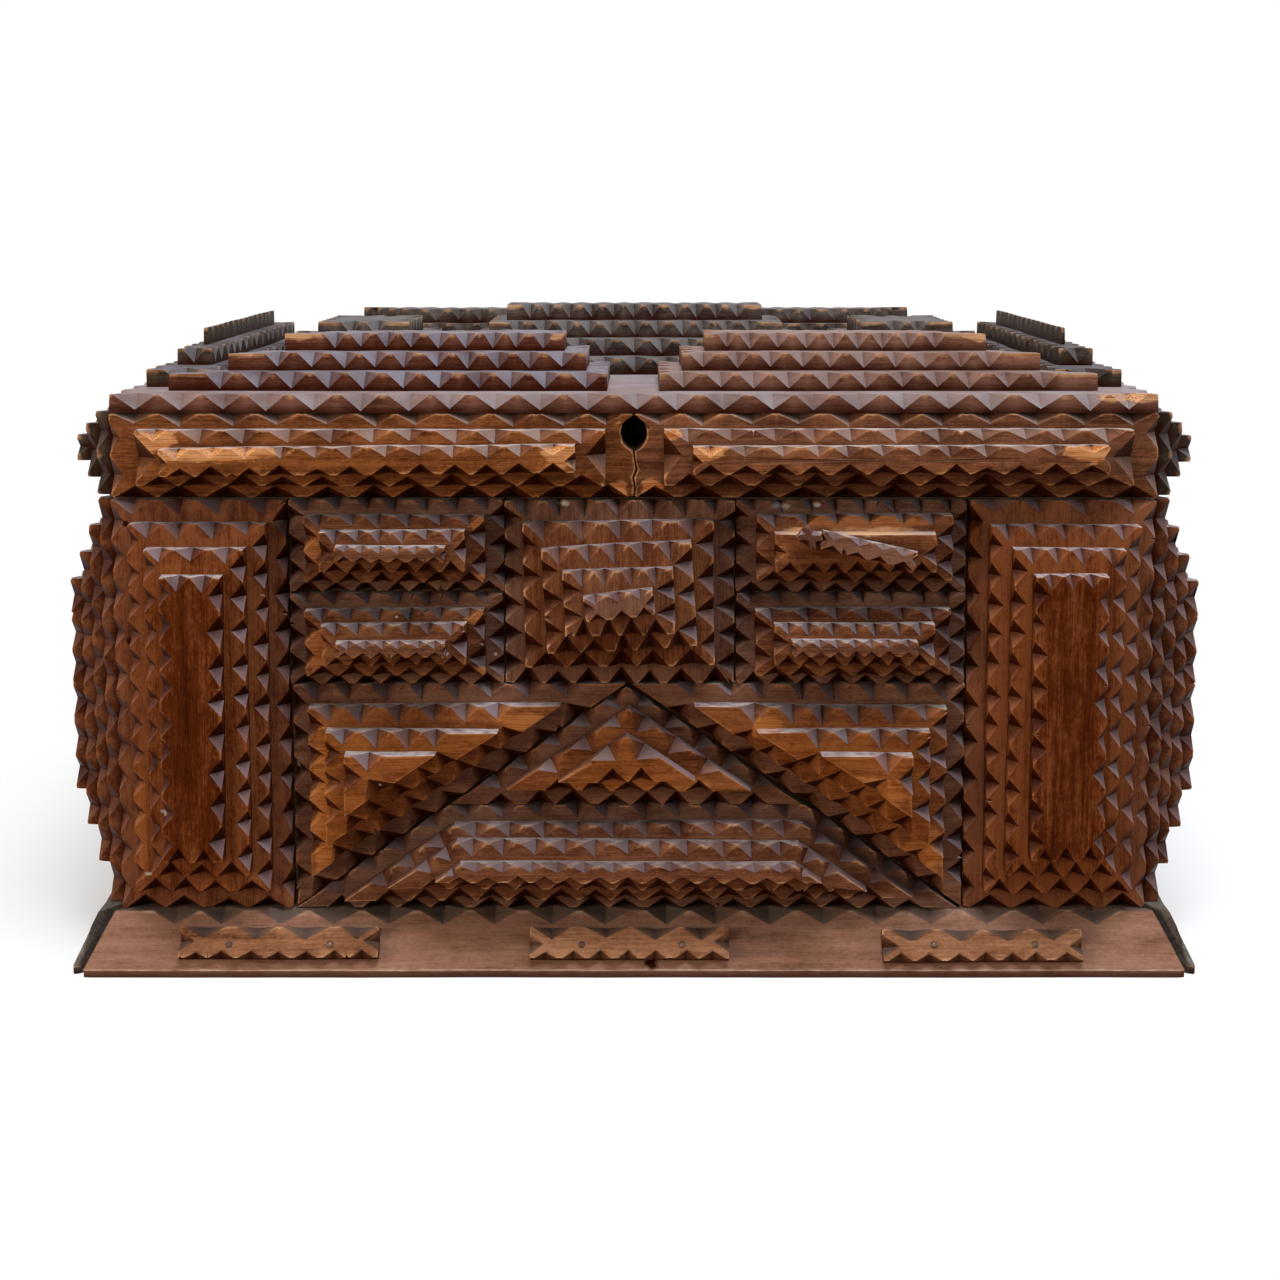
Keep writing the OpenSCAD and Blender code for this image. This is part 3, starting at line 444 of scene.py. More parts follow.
PANEL_BARE = [((56, -98, 113.6), (20, 2, 2.6)),
              ((-78.3, -99, 107.5), (3.2, 4, 6)), ((-37.5, -98, 112.5), (3, 4, 2.6)),
              ((-37.5, -98, 99), (3, 4, 2)), ((-77.6, -99, 82), (4.2, 4, 8)),
              ((-38, -98, 89.5), (4, 4, 2.4)), ((-37.5, -98, 76), (3, 4, 2)),
              ((41, -101, 78.5), (5, 5, 2)), ((71, -101, 78.5), (3, 5, 2)),
              ((36.5, -99, 107), (2.6, 4, 6)), ((22, -98, 78), (3, 4, 4))]
TRIANGLE_BARE = [((-77, -98, 42), (3.6, 3.5, 26)), ((-27, -98, 63.5), (9, 4, 3)),
                 ((72, -98, 31), (6, 4, 8)), ((58, -106, 48), (10, 4, 5.5)),
                 ((33, -98, 62), (5, 4, 4)), ((0, -98, 48.5), (26, 4, 3.6))]
PILASTER_BARE = [((-106.5, -97, 20.5), (8, 3, 2.4)), ((-122.3, -97, 38), (2, 3, 20)),
                 ((83.7, -93, 108), (1.6, 3, 9)), ((99, -97, 21), (4, 3, 2))]
TORN_EDGE = [((59, -100, 111.8), (15, 4, 1.1)), ((40, -100, 111.8), (5, 4, 1.0))]
# Nail holes are not cut: each is a dark spot of dirt and painted shade.
NAIL_HOLES = [((-125.5, -93.6, 112.6), (1.0, 1.5, 1.0)), ((-125.3, -93.6, 83.1), (1.0, 1.5, 1.0)),
              ((-117.8, -102, 54.3), (1.1, 3, 1.1))]
PAINT_FLECKS = [((-115.4, -103, 42.4), (1.3, 4, 0.7)), ((-121, -98, 25), (1.4, 2, 0.6)),
                ((36, -94, 117), (2.6, 3, 1.1)), ((45, -94, 117.3), (1.4, 3, 0.8)),
                ((-84.2, -93, 51), (0.7, 3, 1.6)), ((-62, -105, 50), (0.5, 4, 0.5)),
                ((-58.3, -97, 90.2), (0.5, 4, 0.4)), ((-34.4, -93, 79.8), (0.45, 3, 0.5)),
                ((-17.6, -93, 117.6), (1.8, 3, 0.9))]
FOOT_KNOT = [((4.3, -101, 3.2), (2.6, 2, 1.8))]

# %% [markdown]
# Each finish has three colours of grain, from dark to bright, and the colour of its dust, which is also a
# painted sheen.

# %% Mix the finishes
LIGHT_PAINT = (0.42, 0.38, 0.33)
WARM_DUST_SHEEN, BLUE_DUST_SHEEN, OLD_DIRT = (0.182, 0.140, 0.145), (0.190, 0.174, 0.197), (0.082, 0.062, 0.052)
FLECKED = [(LIGHT_PAINT, PAINT_FLECKS)]
BOARD = dict(grain=((0.05, 0.02, 0.01), (0.13, 0.06, 0.03), (0.24, 0.13, 0.07)),
             dust=WARM_DUST_SHEEN, share=0.15, ledge_highlight=0, rough=0.6)
WOODS = {
    "dark_wood": dict(
        grain=((0.030, 0.0045, 0.0008), (0.080, 0.0170, 0.0032), (0.210, 0.066, 0.021)),
        dust=(0.215, 0.160, 0.165), marks=[(DIRT_AND_SHADE, NAIL_HOLES)] + FLECKED,
        bare_places=PILASTER_BARE, bare=((0.185, 0.048, 0.009), (0.290, 0.100, 0.032))),
    "panel_wood": dict(
        grain=((0.024, 0.0040, 0.0010), (0.088, 0.0260, 0.0095), (0.210, 0.078, 0.030)),
        dust=WARM_DUST_SHEEN, marks=[(PALE_AND_GLINT, TORN_EDGE)] + FLECKED,
        bare_places=PANEL_BARE, bare=((0.195, 0.056, 0.012), (0.320, 0.128, 0.046))),
    "red_wood": dict(
        grain=((0.028, 0.0045, 0.0010), (0.100, 0.0280, 0.0085), (0.210, 0.076, 0.028)),
        dust=(0.140, 0.103, 0.104), share=0.88, ledge_highlight=0.2, marks=FLECKED),
    "orange_wood": dict(
        grain=((0.040, 0.0070, 0.0013), (0.135, 0.0380, 0.0095), (0.270, 0.090, 0.024)),
        dust=(0.200, 0.160, 0.172), share=0.88, marks=FLECKED,
        bare_places=TRIANGLE_BARE, bare=((0.260, 0.072, 0.012), (0.400, 0.160, 0.050))),
    "lid_wood": dict(
        grain=((0.032, 0.0052, 0.0010), (0.100, 0.0310, 0.0088), (0.255, 0.086, 0.025)),
        dust=(0.240, 0.172, 0.146),
        bare_places=LID_FRONT_BARE, bare=((0.330, 0.095, 0.020), (0.600, 0.300, 0.125))),
    "top_red_wood": dict(
        grain=((0.020, 0.0050, 0.0025), (0.075, 0.0220, 0.0120), (0.160, 0.060, 0.036)),
        dust=BLUE_DUST_SHEEN, share=0.9, window_share=0.7, ledge_highlight=0, bare_places=TOP_LEFT_BARE),
    "top_board_wood": dict(
        grain=((0.035, 0.0100, 0.0060), (0.105, 0.0400, 0.0250), (0.190, 0.085, 0.058)),
        dust=(0.265, 0.222, 0.222), share=0.9, window_share=0.35, ledge_highlight=0, bare_places=TOP_LEFT_BARE),
    "top_brown_wood": dict(
        grain=((0.045, 0.0180, 0.0120), (0.135, 0.0560, 0.0330), (0.240, 0.115, 0.075)),
        dust=(0.220, 0.157, 0.143), share=0.9, window_share=0.6, ledge_highlight=0, bare_places=TOP_RIGHT_BARE),
    "grey_wood": dict(
        grain=((0.012, 0.0075, 0.0060), (0.050, 0.0360, 0.0300), (0.120, 0.092, 0.078)),
        dust=(0.140, 0.126, 0.123), share=0.85, ledge_highlight=0, rough=0.45),
    "green_wood": dict(
        grain=((0.008, 0.0060, 0.0035), (0.034, 0.0250, 0.0160), (0.085, 0.064, 0.046)),
        dust=BLUE_DUST_SHEEN, share=0.5, ledge_highlight=0, rough=0.45),
    "plinth_wood": dict(
        grain=((0.105, 0.0450, 0.0260), (0.215, 0.1050, 0.0670), (0.310, 0.165, 0.110)),
        dust=OLD_DIRT, share=0.9, facing_range=(0.62, 0.8), window_share=0, ledge_highlight=0, rough=0.5,
        bare=((0.33, 0.20, 0.135), (0.58, 0.43, 0.32)), marks=[(DIRT_AND_SHADE, FOOT_KNOT)]),
    "dusty_wood": dict(
        grain=((0.030, 0.0260, 0.0200), (0.120, 0.1050, 0.0880), (0.250, 0.220, 0.185)),
        dust=OLD_DIRT, share=0.7, facing_range=(0.75, 0.9), window_share=0, ledge_highlight=0, rough=0.5),
    "strip_wood": dict(
        grain=((0.070, 0.0250, 0.0100), (0.200, 0.0850, 0.0400), (0.340, 0.165, 0.085)),
        dust=OLD_DIRT, share=0.8, facing_range=(0.62, 0.85), window_share=0, ledge_highlight=0, rough=0.5),
    "board_wood_x": dict(**BOARD, along="x"),
    "board_wood_y": dict(**BOARD, along="y"),
    "back_wood": dict(
        grain=((0.03, 0.008, 0.003), (0.095, 0.026, 0.009), (0.2, 0.07, 0.024)),
        dust=WARM_DUST_SHEEN, share=0.6, ledge_highlight=0, rough=0.45, along="x"),
}
finishes = {name: old_wood(name, **wood) for name, wood in WOODS.items()}
print("wood finishes:", ", ".join(finishes))

# %% [markdown]
# ## One carved edge
# A chip is two knife cuts that meet in a valley: a triangle on the layer's top face and a
# triangle on its edge. A boolean cut for each of the many chips would be slow and would leave
# ragged faces, so each edge is a grid instead. Its columns follow the folds of the chips and its
# rows climb from the layer's back to its top face, so every fold is a clean mesh edge.
# The knife was guided by eye, and small random changes to each chip keep that.

# %% Work out the columns of a carved edge
ROW_RISE = np.array([0.0, 0.0, 0.5, 1.0])
TIP_RISE = np.array([0.0, 0.1, 0.55, 1.0])
TIP_WORN, TIP_DROP, TIP_DEEP = ROW_RISE ** 2, 0.6 * ROW_RISE ** 3, 0.8 * (1 - ROW_RISE) ** 3
FOLD = np.array([-1.0, -0.5, 0.0, 0.5, 1.0])
FOLD_WORN = np.array([0.85, 0.4, 0.25, 0.4, 0.85])
CHIP_SHARE, CHIP_MOST = 0.94, 0.98
STRAY, WIDTH_STRAY, CUT_STRAY = 0.05, 0.08, 0.14
STRAY_RANGE, WIDTH_RANGE, CUT_RANGE = (-1.5, 1.5), (-2, 1), (0.62, 1.08)
FOOT_LEAST, FOOT_STRAY = 0.10, 0.12
TIP_LEAST, BROKEN_SHARE, BROKEN_TIP = 0.15, 0.06, 3.2
TIP_BACK, HOLLOW_DEEP = 0.9, 0.45
CORNER_WALL = 0.5


def corner_room(angle, depth, chip_w):
    """Length left free at a corner, so that the chips of two edges don't meet."""
    return max(CORNER_WALL, (depth + CORNER_WALL) / math.tan(angle / 2) - chip_w / 2)


def carve_edge(length, pitch, depth, rooms, t, blunt, draw):
    """Columns of a carved edge: run along the edge, cut inwards, height, wear, depth and tone.
    At the share r of its height a chip spans r * half on each side of its middle, and a fold at
    the share f of that span lies r * depth * (1 - |f|) inside the edge."""
    span = length - sum(rooms)
    count = max(1, round(span / pitch))
    step = span / count
    ends = rooms[0] + step * np.arange(count + 1)
    ends[1:-1] += step * STRAY * draw.normal(size=count - 1).clip(*STRAY_RANGE)
    middle = (ends[:-1] + ends[1:]) / 2 + step * STRAY * draw.normal(size=count).clip(*STRAY_RANGE)
    half = CHIP_SHARE * step / 2 * (1 + WIDTH_STRAY * draw.normal(size=count).clip(*WIDTH_RANGE))
    half = np.minimum(half, CHIP_MOST * np.minimum(middle - ends[:-1], ends[1:] - middle))
    cut = depth * (1 + CUT_STRAY * draw.normal(size=count)).clip(*CUT_RANGE)
    foot = t * (FOOT_LEAST + FOOT_STRAY * draw.random(count))
    tip = blunt * (TIP_LEAST + draw.random(count + 1) ** 2)
    tip = np.where(draw.random(count + 1) < BROKEN_SHARE, BROKEN_TIP * blunt, tip)

    rise = ROW_RISE[:, None, None]
    each_chip, each_tip = np.ones((count, 1)), np.ones(count + 1)
    chip_run = middle[:, None] + rise * FOLD * half[:, None]
    chip_in = rise * cut[:, None] * (1 - np.abs(FOLD))
    chip_up = (foot[:, None] + rise * (t - foot[:, None])) * np.ones(len(FOLD))
    chip_up[0] = 0
    chip_worn = rise ** 3 * FOLD_WORN * each_chip
    hollow = HOLLOW_DEEP * rise * (1 - np.abs(FOLD)) ** 2
    chip_deep = np.maximum((1 - rise) ** 1.5, hollow) * each_chip
    tip_run = ends * np.ones((len(ROW_RISE), 1))
    tip_in = TIP_WORN[:, None] * TIP_BACK * tip
    tip_up = TIP_RISE[:, None] * t - TIP_DROP[:, None] * tip

    def weave(tips, chips):
        """Sets each tooth's column before its chip's columns, and closes with the last tooth."""
        joined = np.concatenate([tips[:, :-1, None], chips], axis=2)
        return np.concatenate([joined.reshape(len(ROW_RISE), -1), tips[:, -1:]], axis=1)

    chip_tone = draw.normal(size=count)[:, None] * np.ones((len(ROW_RISE), 1, len(FOLD)))
    tip_tone = draw.normal(size=count + 1) * np.ones((len(ROW_RISE), 1))
    return (weave(tip_run, chip_run), weave(tip_in, chip_in), weave(tip_up, chip_up),
            weave(TIP_WORN[:, None] * each_tip, chip_worn), weave(TIP_DEEP[:, None] * each_tip, chip_deep),
            weave(tip_tone, chip_tone))

# %% [markdown]
# ## One carved layer
# A layer is a thin board with any outline. The columns of all its edges make a ring, and more
# rows close the ring: one a little inside the top edge, one on a smaller copy of the outline,
# and a last one that shrinks to a single point. The back closes to a point in the same way.

# %% Outlines and their insets
def inward_normals(outline):
    """Unit normals of the edges of an anticlockwise outline, pointing in."""
    run = np.roll(outline, -1, axis=0) - outline
    run = run / np.linalg.norm(run, axis=1, keepdims=True)
    return np.stack([-run[:, 1], run[:, 0]], axis=1)


def inset(outline, steps):
    """Moves each edge inwards by its step; new corners are where moved neighbours cross."""
    after = inward_normals(outline)
    before = np.roll(after, 1, axis=0)
    d_after = np.broadcast_to(np.asarray(steps, float), len(outline))
    d_before = np.roll(d_after, 1)
    det = before[:, 0] * after[:, 1] - before[:, 1] * after[:, 0]
    dx = d_before * after[:, 1] - d_after * before[:, 1]
    dy = before[:, 0] * d_after - after[:, 0] * d_before
    return outline + np.stack([dx, dy], axis=1) / det[:, None]


def least_width(outline):
    """Smallest distance across an outline, measured square to its edges."""
    normals = inward_normals(outline)
    reach = ((outline[None] - outline[:, None]) * normals[:, None]).sum(axis=2)
    return reach.max(axis=1).min()


def nearest_on(outline, points):
    """Nearest point on a convex outline's border to each point."""
    run = np.roll(outline, -1, axis=0) - outline
    share = ((points[:, None] - outline) * run).sum(axis=2) / (run ** 2).sum(axis=1)
    foot = outline + share.clip(0, 1)[..., None] * run
    best = np.linalg.norm(foot - points[:, None], axis=2).argmin(axis=1)
    return foot[np.arange(len(points)), best]


def corner_angles(outline):
    """Inner angle at each corner."""
    back = np.roll(outline, 1, axis=0) - outline
    on = np.roll(outline, -1, axis=0) - outline
    cosine = (back * on).sum(axis=1) / np.linalg.norm(back, axis=1) / np.linalg.norm(on, axis=1)
    return np.arccos(cosine.clip(-1, 1))

# %% Build one layer
LIP_W, LIP_MOST, LIP_WORN, LIP_TONE = 0.8, 0.5, 0.35, 0.5
CORNER_LEAST, CORNER_STRAY = 0.4, 1.2
CORE_SHARE, CORE_ROOM = 1.1, 0.15
LEAST_GAP = 1e-6
BLUNT = 0.22


def ring_quads(shape):
    """Quads of a grid of points, (rows, columns), whose columns close to a ring."""
    cell = np.arange(shape[0] * shape[1]).reshape(shape)
    beside = np.roll(cell, -1, axis=1)
    return np.stack([cell[:-1], beside[:-1], beside[1:], cell[1:]], axis=-1).reshape(-1, 4)


def layer_rim(outline, pitches, depths, t, draw, blunt, carved):
    """The ring of columns round a layer: a blunt corner, then the columns of the edge after it."""
    angles = corner_angles(outline)
    normals = inward_normals(outline)
    size = len(outline)
    parts = []
    for i in range(size):
        start, end = outline[i], outline[(i + 1) % size]
        length = np.linalg.norm(end - start)
        along = (end - start) / length
        corner = blunt * (CORNER_LEAST + CORNER_STRAY * draw.random())
        towards = outline.mean(axis=0) - start
        towards = towards / np.linalg.norm(towards)
        flat = (start + corner * TIP_WORN[:, None] * towards)[:, None]
        up = (TIP_RISE * t - TIP_DROP * corner)[:, None]
        parts.append((flat, up, TIP_WORN[:, None], TIP_DEEP[:, None], np.zeros((len(ROW_RISE), 1))))
        if carved[i]:
            rooms = [corner_room(angles[k % size], depths[i], CHIP_SHARE * pitches[i]) for k in (i, i + 1)]
            run, cut, up, *finish = carve_edge(length, pitches[i], depths[i], rooms, t, blunt, draw)
            parts.append((start + run[..., None] * along + cut[..., None] * normals[i], up, *finish))
    return [np.concatenate(columns, axis=1) for columns in zip(*parts)]


def carved_layer(outline, pitch, depths, t, draw, blunt=BLUNT, carved=None, core=None):
    """One layer: points (u, v, out), quads and the numbers for its finish. Rows: back point, back
    ring, back edge, chip feet, half height, top edge, lip inside it, core, top point."""
    pitches = np.broadcast_to(np.asarray(pitch, float), len(outline))
    carved = np.ones(len(outline), bool) if carved is None else carved
    flat, up, worn, deep, tone = layer_rim(outline, pitches, depths, t, draw, blunt, carved)
    if core is None:
        core = inset(outline, np.asarray(depths) * CORE_SHARE + CORE_ROOM)
    inner = nearest_on(core, flat[-1])
    gap = np.linalg.norm(inner - flat[-1], axis=1, keepdims=True)
    lip = flat[-1] + (inner - flat[-1]) * np.minimum(LIP_W / gap.clip(LEAST_GAP), LIP_MOST)
    middle = np.ones_like(inner) * core.mean(axis=0)
    count = flat.shape[1]
    none = np.zeros((2, count))
    flat = np.concatenate([middle[None], inner[None], flat, lip[None], inner[None], middle[None]])
    up = np.concatenate([none, up, np.full((3, count), t)])
    worn = np.concatenate([none, worn, np.full((1, count), LIP_WORN), none])
    deep = np.concatenate([none, deep, none[:1], none])
    tone = np.concatenate([none, tone, tone[-1:] * LIP_TONE, none])
    points = np.concatenate([flat, up[..., None]], axis=2)
    return points.reshape(-1, 3), ring_quads(up.shape), worn.ravel(), deep.ravel(), tone.ravel()

# %% [markdown]
# ## A stack of layers becomes a piece
# Each panel is a stack whose layers step inwards. Hand-cut layers never lie quite true, so each
# one is turned and shifted a little, and its surface waves by a few hundredths of a millimetre.
# The stack takes its place from the CAD node that it stands for, rides on the same body, and a
# narrow bevel rounds every fold as handling has done.

# %% Faces of the box, and where a CAD node lies on them
FACE_AXES = {
    "front": np.array([[1, 0, 0], [0, 0, 1], [0, -1, 0]], float),
    "right": np.array([[0, 1, 0], [0, 0, 1], [1, 0, 0]], float),
    "left": np.array([[0, -1, 0], [0, 0, 1], [-1, 0, 0]], float),
    "top": np.array([[1, 0, 0], [0, 1, 0], [0, 0, 1]], float),
}


def node_span(node, face):
    """Lowest and highest (u, v, out) of a CAD node in a face's own axes, in millimetres."""
    ends = np.array(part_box(node)) / MM @ FACE_AXES[face].T
    return ends.min(axis=0), ends.max(axis=0)


def node_origin(node, face):
    """Where the back of a node lies on a face."""
    return node_span(node, face)[0][2] * FACE_AXES[face][2]


def rectangle(low, high):
    """Anticlockwise rectangle from two corners: bottom, right, top and left edge."""
    return np.array([[low[0], low[1]], [high[0], low[1]], [high[0], high[1]], [low[0], high[1]]])

# %% Join layers into a mesh
FOLD_ANGLE = 24
WAVES = 6
SAME_PLACE = 1e-4


def ripple(points, amount, wave, draw):
    """Smooth random push: sines of the point along six random directions."""
    turns = draw.normal(size=(WAVES, 3)) * 2 * math.pi / wave
    starts = draw.uniform(0, 2 * math.pi, WAVES)
    pushes = draw.normal(size=(WAVES, 3)) * amount / math.sqrt(WAVES)
    return np.sin(points @ turns.T + starts) @ pushes


def merge_doubles(points, quads):
    """Merges equal points, drops quads that shrink to a line and turns the rest into triangles."""
    keys = np.round(points / SAME_PLACE).astype(np.int64)
    _, first, where = np.unique(keys, axis=0, return_index=True, return_inverse=True)
    quads = where.ravel()[quads]
    same = quads == np.roll(quads, -1, axis=1)
    crossed = (quads[:, 0] == quads[:, 2]) | (quads[:, 1] == quads[:, 3])
    whole = quads[(same.sum(axis=1) == 0) & ~crossed]
    folded = (same.sum(axis=1) == 1) & ~crossed
    triangles = quads[folded][~same[folded]].reshape(-1, 3)
    return first, whole.tolist() + triangles.tolist()


def round_edges(thing, width, angle=None):
    """Rounds folds by a width in millimetres: those sharper than an angle in degrees, or the usual one."""
    bevel = thing.modifiers.new("handled_edges", "BEVEL")
    bevel.width = width * MM
    bevel.segments = 2
    bevel.limit_method = "ANGLE"
    if angle is not None:
        bevel.angle_limit = math.radians(angle)
    bevel.harden_normals = True


def wood_piece(node, layers, finish, body, bevel=0.17):
    """Makes one object of layers, each (points, quads, worn, deep, grain, tone, dull), for a CAD node."""
    starts = np.cumsum([0] + [len(layer[0]) for layer in layers[:-1]])
    quads = np.concatenate([layer[1] + start for layer, start in zip(layers, starts)])
    points, worn, deep, grain, tone, dull = (
        np.concatenate([layer[i] for layer in layers]) for i in (0, 2, 3, 4, 5, 6))
    points = points.clip(*(np.array(corner) / MM for corner in cad_box))
    first, faces = merge_doubles(points, quads)
    piece = add_object(node + "_wood", points[first], faces, finishes[finish])
    numbers = piece.data.attributes
    numbers.new("grain", "FLOAT_VECTOR", "POINT").data.foreach_set("vector", grain[first].ravel())
    for label, values in (("worn", worn), ("deep", deep), ("tone", tone), ("dull", dull)):
        numbers.new(label, "FLOAT", "POINT").data.foreach_set("value", values[first])
    round_edges(piece, bevel, FOLD_ANGLE)
    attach(piece, body)
    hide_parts(node)
    print(piece.name, len(faces), "faces")
    return piece

# %% Stack layers on a face
LAYER_T, TOP_LAYER_T = 4.2, 4.4
GLUE = 0.05
CHIP_REACH, CHIP_NARROW = 0.85, 0.36
# Upper layers count as more worn, which gives their tooth tips more bare wood and a painted glint.
CHIP_TONE, LAYER_WEAR_AND_GLINT = 0.22, 0.05
WAVE = (0.09, 32)
TURN, SLIP = 0.3, 0.18
GRAIN_AWAY = 400


def nudge(outline, draw, turn, slip=SLIP, lean=0.0):
    """Turns an outline by its lean and tenths of a degree, and shifts it by tenths of a millimetre."""
    angle = math.radians(lean + turn * draw.normal())
    middle = outline.mean(axis=0)
    spin = np.array([[math.cos(angle), -math.sin(angle)], [math.sin(angle), math.cos(angle)]])
    return (outline - middle) @ spin.T + middle + slip * draw.normal(size=2).clip(*STRAY_RANGE)


def place_layer(layer, face, origin, lift, upright, tone, draw, dull=0.0):
    """Moves a layer from (u, v, out) to the box, and adds its grain, tone and dullness.
    Place = origin + u * first axis + v * second axis + (out + lift) * third axis."""
    points, quads, worn, deep, shade = layer
    along = points[:, [1, 0, 2]] if upright else points
    grain = along + draw.uniform(-GRAIN_AWAY, GRAIN_AWAY, 3)
    points = points + ripple(points, *WAVE, draw)
    placed = origin + (points + [0, 0, lift]) @ FACE_AXES[face]
    return placed, quads, worn, deep, grain, tone + CHIP_TONE * shade, np.full(len(placed), dull)


def stack_layers(node, face, outline, steps, pitches, tones, draw, t=LAYER_T, upright=False,
                 reach=CHIP_REACH, leans=None, dulls=None):
    """Carved layers in the place of a CAD node; layer k is the outline less k steps."""
    steps = np.broadcast_to(np.asarray(steps, float), len(outline))
    layers = []
    for k, pitch in enumerate(pitches):
        shape = inset(outline, steps * k)
        depths = np.minimum(reach * steps, CHIP_NARROW * least_width(shape))
        shape = nudge(shape, draw, TURN if k else 0, lean=leans[k] if leans else 0)
        points, quads, worn, deep, shade = carved_layer(shape, pitch, depths, t, draw)
        layer = points, quads, worn * (1 + LAYER_WEAR_AND_GLINT * k), deep, shade
        layers.append(place_layer(layer, face, node_origin(node, face), k * (t + GLUE), upright,
                                  tones[k], draw, dulls[k] if dulls else 0.0))
    return layers


def stack(node, face, outline, steps, pitches, tones, finish, body, **more):
    """Makes the piece of a whole stack, with random draws of its own."""
    draw = np.random.default_rng(sum(map(ord, node)))
    layers = stack_layers(node, face, outline, steps, pitches, tones, draw, **more)
    return wood_piece(node, layers, finish, body)


def square_stack(node, face, *rest, **more):
    """A stack whose outline is the whole rectangle of its CAD node."""
    return stack(node, face, rectangle(*node_span(node, face)), *rest, **more)

# %% [markdown]
# ## The front of the case
# Two tall pilasters frame the front. Between them are four long panels and a square one in the
# upper half, and three triangles with a low trapezoid in the lower half. The grain stands upright
# on the pilasters and the square panel and lies along the box elsewhere. Most pitches fall as the
# layers shrink, because a small layer was cut with small chips.

# %% Carve the pilasters
PILASTER_STEPS = [5.5, 4.7, 5.5, 4.7]
PILASTER_PITCHES = [[10, 9.6, 10.2, 9.6], [7.5, 8.4, 7.4, 7.7], [7.2, 8.4, 7.2, 8.2], [6, 8.2, 6, 7.9]]
PILASTER_TONES = np.array([0.75, 0.85, 0.75, 0.25])
PILASTER_DULLS = [0.22, 0.06, 0.0, 0.0]
PILASTER_REACH = 0.64
for node, lighter in (("left_pilaster", 0.0), ("right_pilaster", 0.16)):
    square_stack(node, "front", PILASTER_STEPS, PILASTER_PITCHES, PILASTER_TONES + lighter,
                 "dark_wood", "carcass", upright=True, reach=PILASTER_REACH, dulls=PILASTER_DULLS)

# %% Carve the upper panels
PANEL_STEPS = [3.2, 4.4, 3.2, 4.4]
PANEL_PITCHES = [7, 7.4, 5.6, 4.4]
PANEL_TONES = [0.45, 0.5, 0.6, 0.6]
PANEL_DULLS = [0.75, 0.12, 0.1, 0.3]
for node in ("upper_left_top_panel", "upper_left_bottom_panel", "upper_right_bottom_panel"):
    square_stack(node, "front", PANEL_STEPS, PANEL_PITCHES, PANEL_TONES, "panel_wood", "carcass",
                 dulls=PANEL_DULLS)

CENTRE_STEP = 5.0
CENTRE_PITCHES = [7.7, 8.4, 7.6, 6.6, 5]
CENTRE_TONES = [0.5, 0.5, 0.6, 0.6, 0.8]
CENTRE_LEANS = [0, 0.5, 3.0, 1.5, 6.5]
CENTRE_DULLS = [0.65, 0.1, 0.1, 0.2, 0.6]
square_stack("centre_panel", "front", CENTRE_STEP, CENTRE_PITCHES, CENTRE_TONES, "red_wood", "carcass",
             leans=CENTRE_LEANS, dulls=CENTRE_DULLS, upright=True)

# %% [markdown]
# One panel has been knocked: the upper teeth of its third layer are broken off along the grain,
# which leaves a straight pale edge, and what is left of its top layer has come loose and lies
# aslant in two bits. The broken edge is an edge without chips, and each loose bit is a narrow
# layer that is turned and tipped before it is placed.

# %% Carve the knocked panel
TORN, TORN_SEED = "upper_right_top_panel", 5
BROKEN_EDGE = np.array([True, True, False, True])
BROKEN_BACK, BROKEN_CUT, BROKEN_BAND, BROKEN_TONE = 0.5, 0.3, 0.4, 0.6
LOOSE_STRIPS = [(23.5, 4.4, (56.6, 108.0), -13.0, 3.2), (5.4, 4.0, (42.4, 111.0), -38.0, -12.0)]
LOOSE_PITCHES = [5.6, 4.4, 6.2, 4.4]
LOOSE_T, LOOSE_CUT, LOOSE_BLUNT = 2.5, 0.34, 0.35
LOOSE_LIFT, LOOSE_TONE, LOOSE_DULL = 0.1, 0.7, 0.6


def broken_layer(outline, steps, draw):
    """Third layer of the knocked panel: no chips along its upper edge, which counts as worn."""
    shape = inset(outline, steps * 2 + np.where(BROKEN_EDGE, 0, BROKEN_BACK))
    depths = np.where(BROKEN_EDGE, CHIP_REACH * steps, BROKEN_CUT)
    points, quads, worn, deep, shade = carved_layer(
        shape, PANEL_PITCHES[2], depths, LAYER_T, draw, carved=BROKEN_EDGE)
    top = points[:, 1] > shape[:, 1].max() - BROKEN_BAND
    return points, quads, np.where(top, 1.0, worn), np.where(top, 0.0, deep), shade


def loose_strip(length, width, middle, turn, tip, draw):
    """A bit of the top layer: a toothed strip, turned on the face and tipped out of it by degrees."""
    shape = rectangle((-length / 2, -width / 2), (length / 2, width / 2))
    points, quads, worn, deep, shade = carved_layer(
        shape, LOOSE_PITCHES, [LOOSE_CUT * width] * 4, LOOSE_T, draw, blunt=LOOSE_BLUNT)
    turn, slope = math.radians(turn), math.tan(math.radians(tip))
    spin = np.array([[math.cos(turn), math.sin(turn), 0], [-math.sin(turn), math.cos(turn), 0], [0, 0, 1]])
    points = points + np.outer(points[:, 0] * slope + length / 2 * abs(slope), [0, 0, 1])
    return points @ spin + [*middle, 0], quads, worn, deep, shade


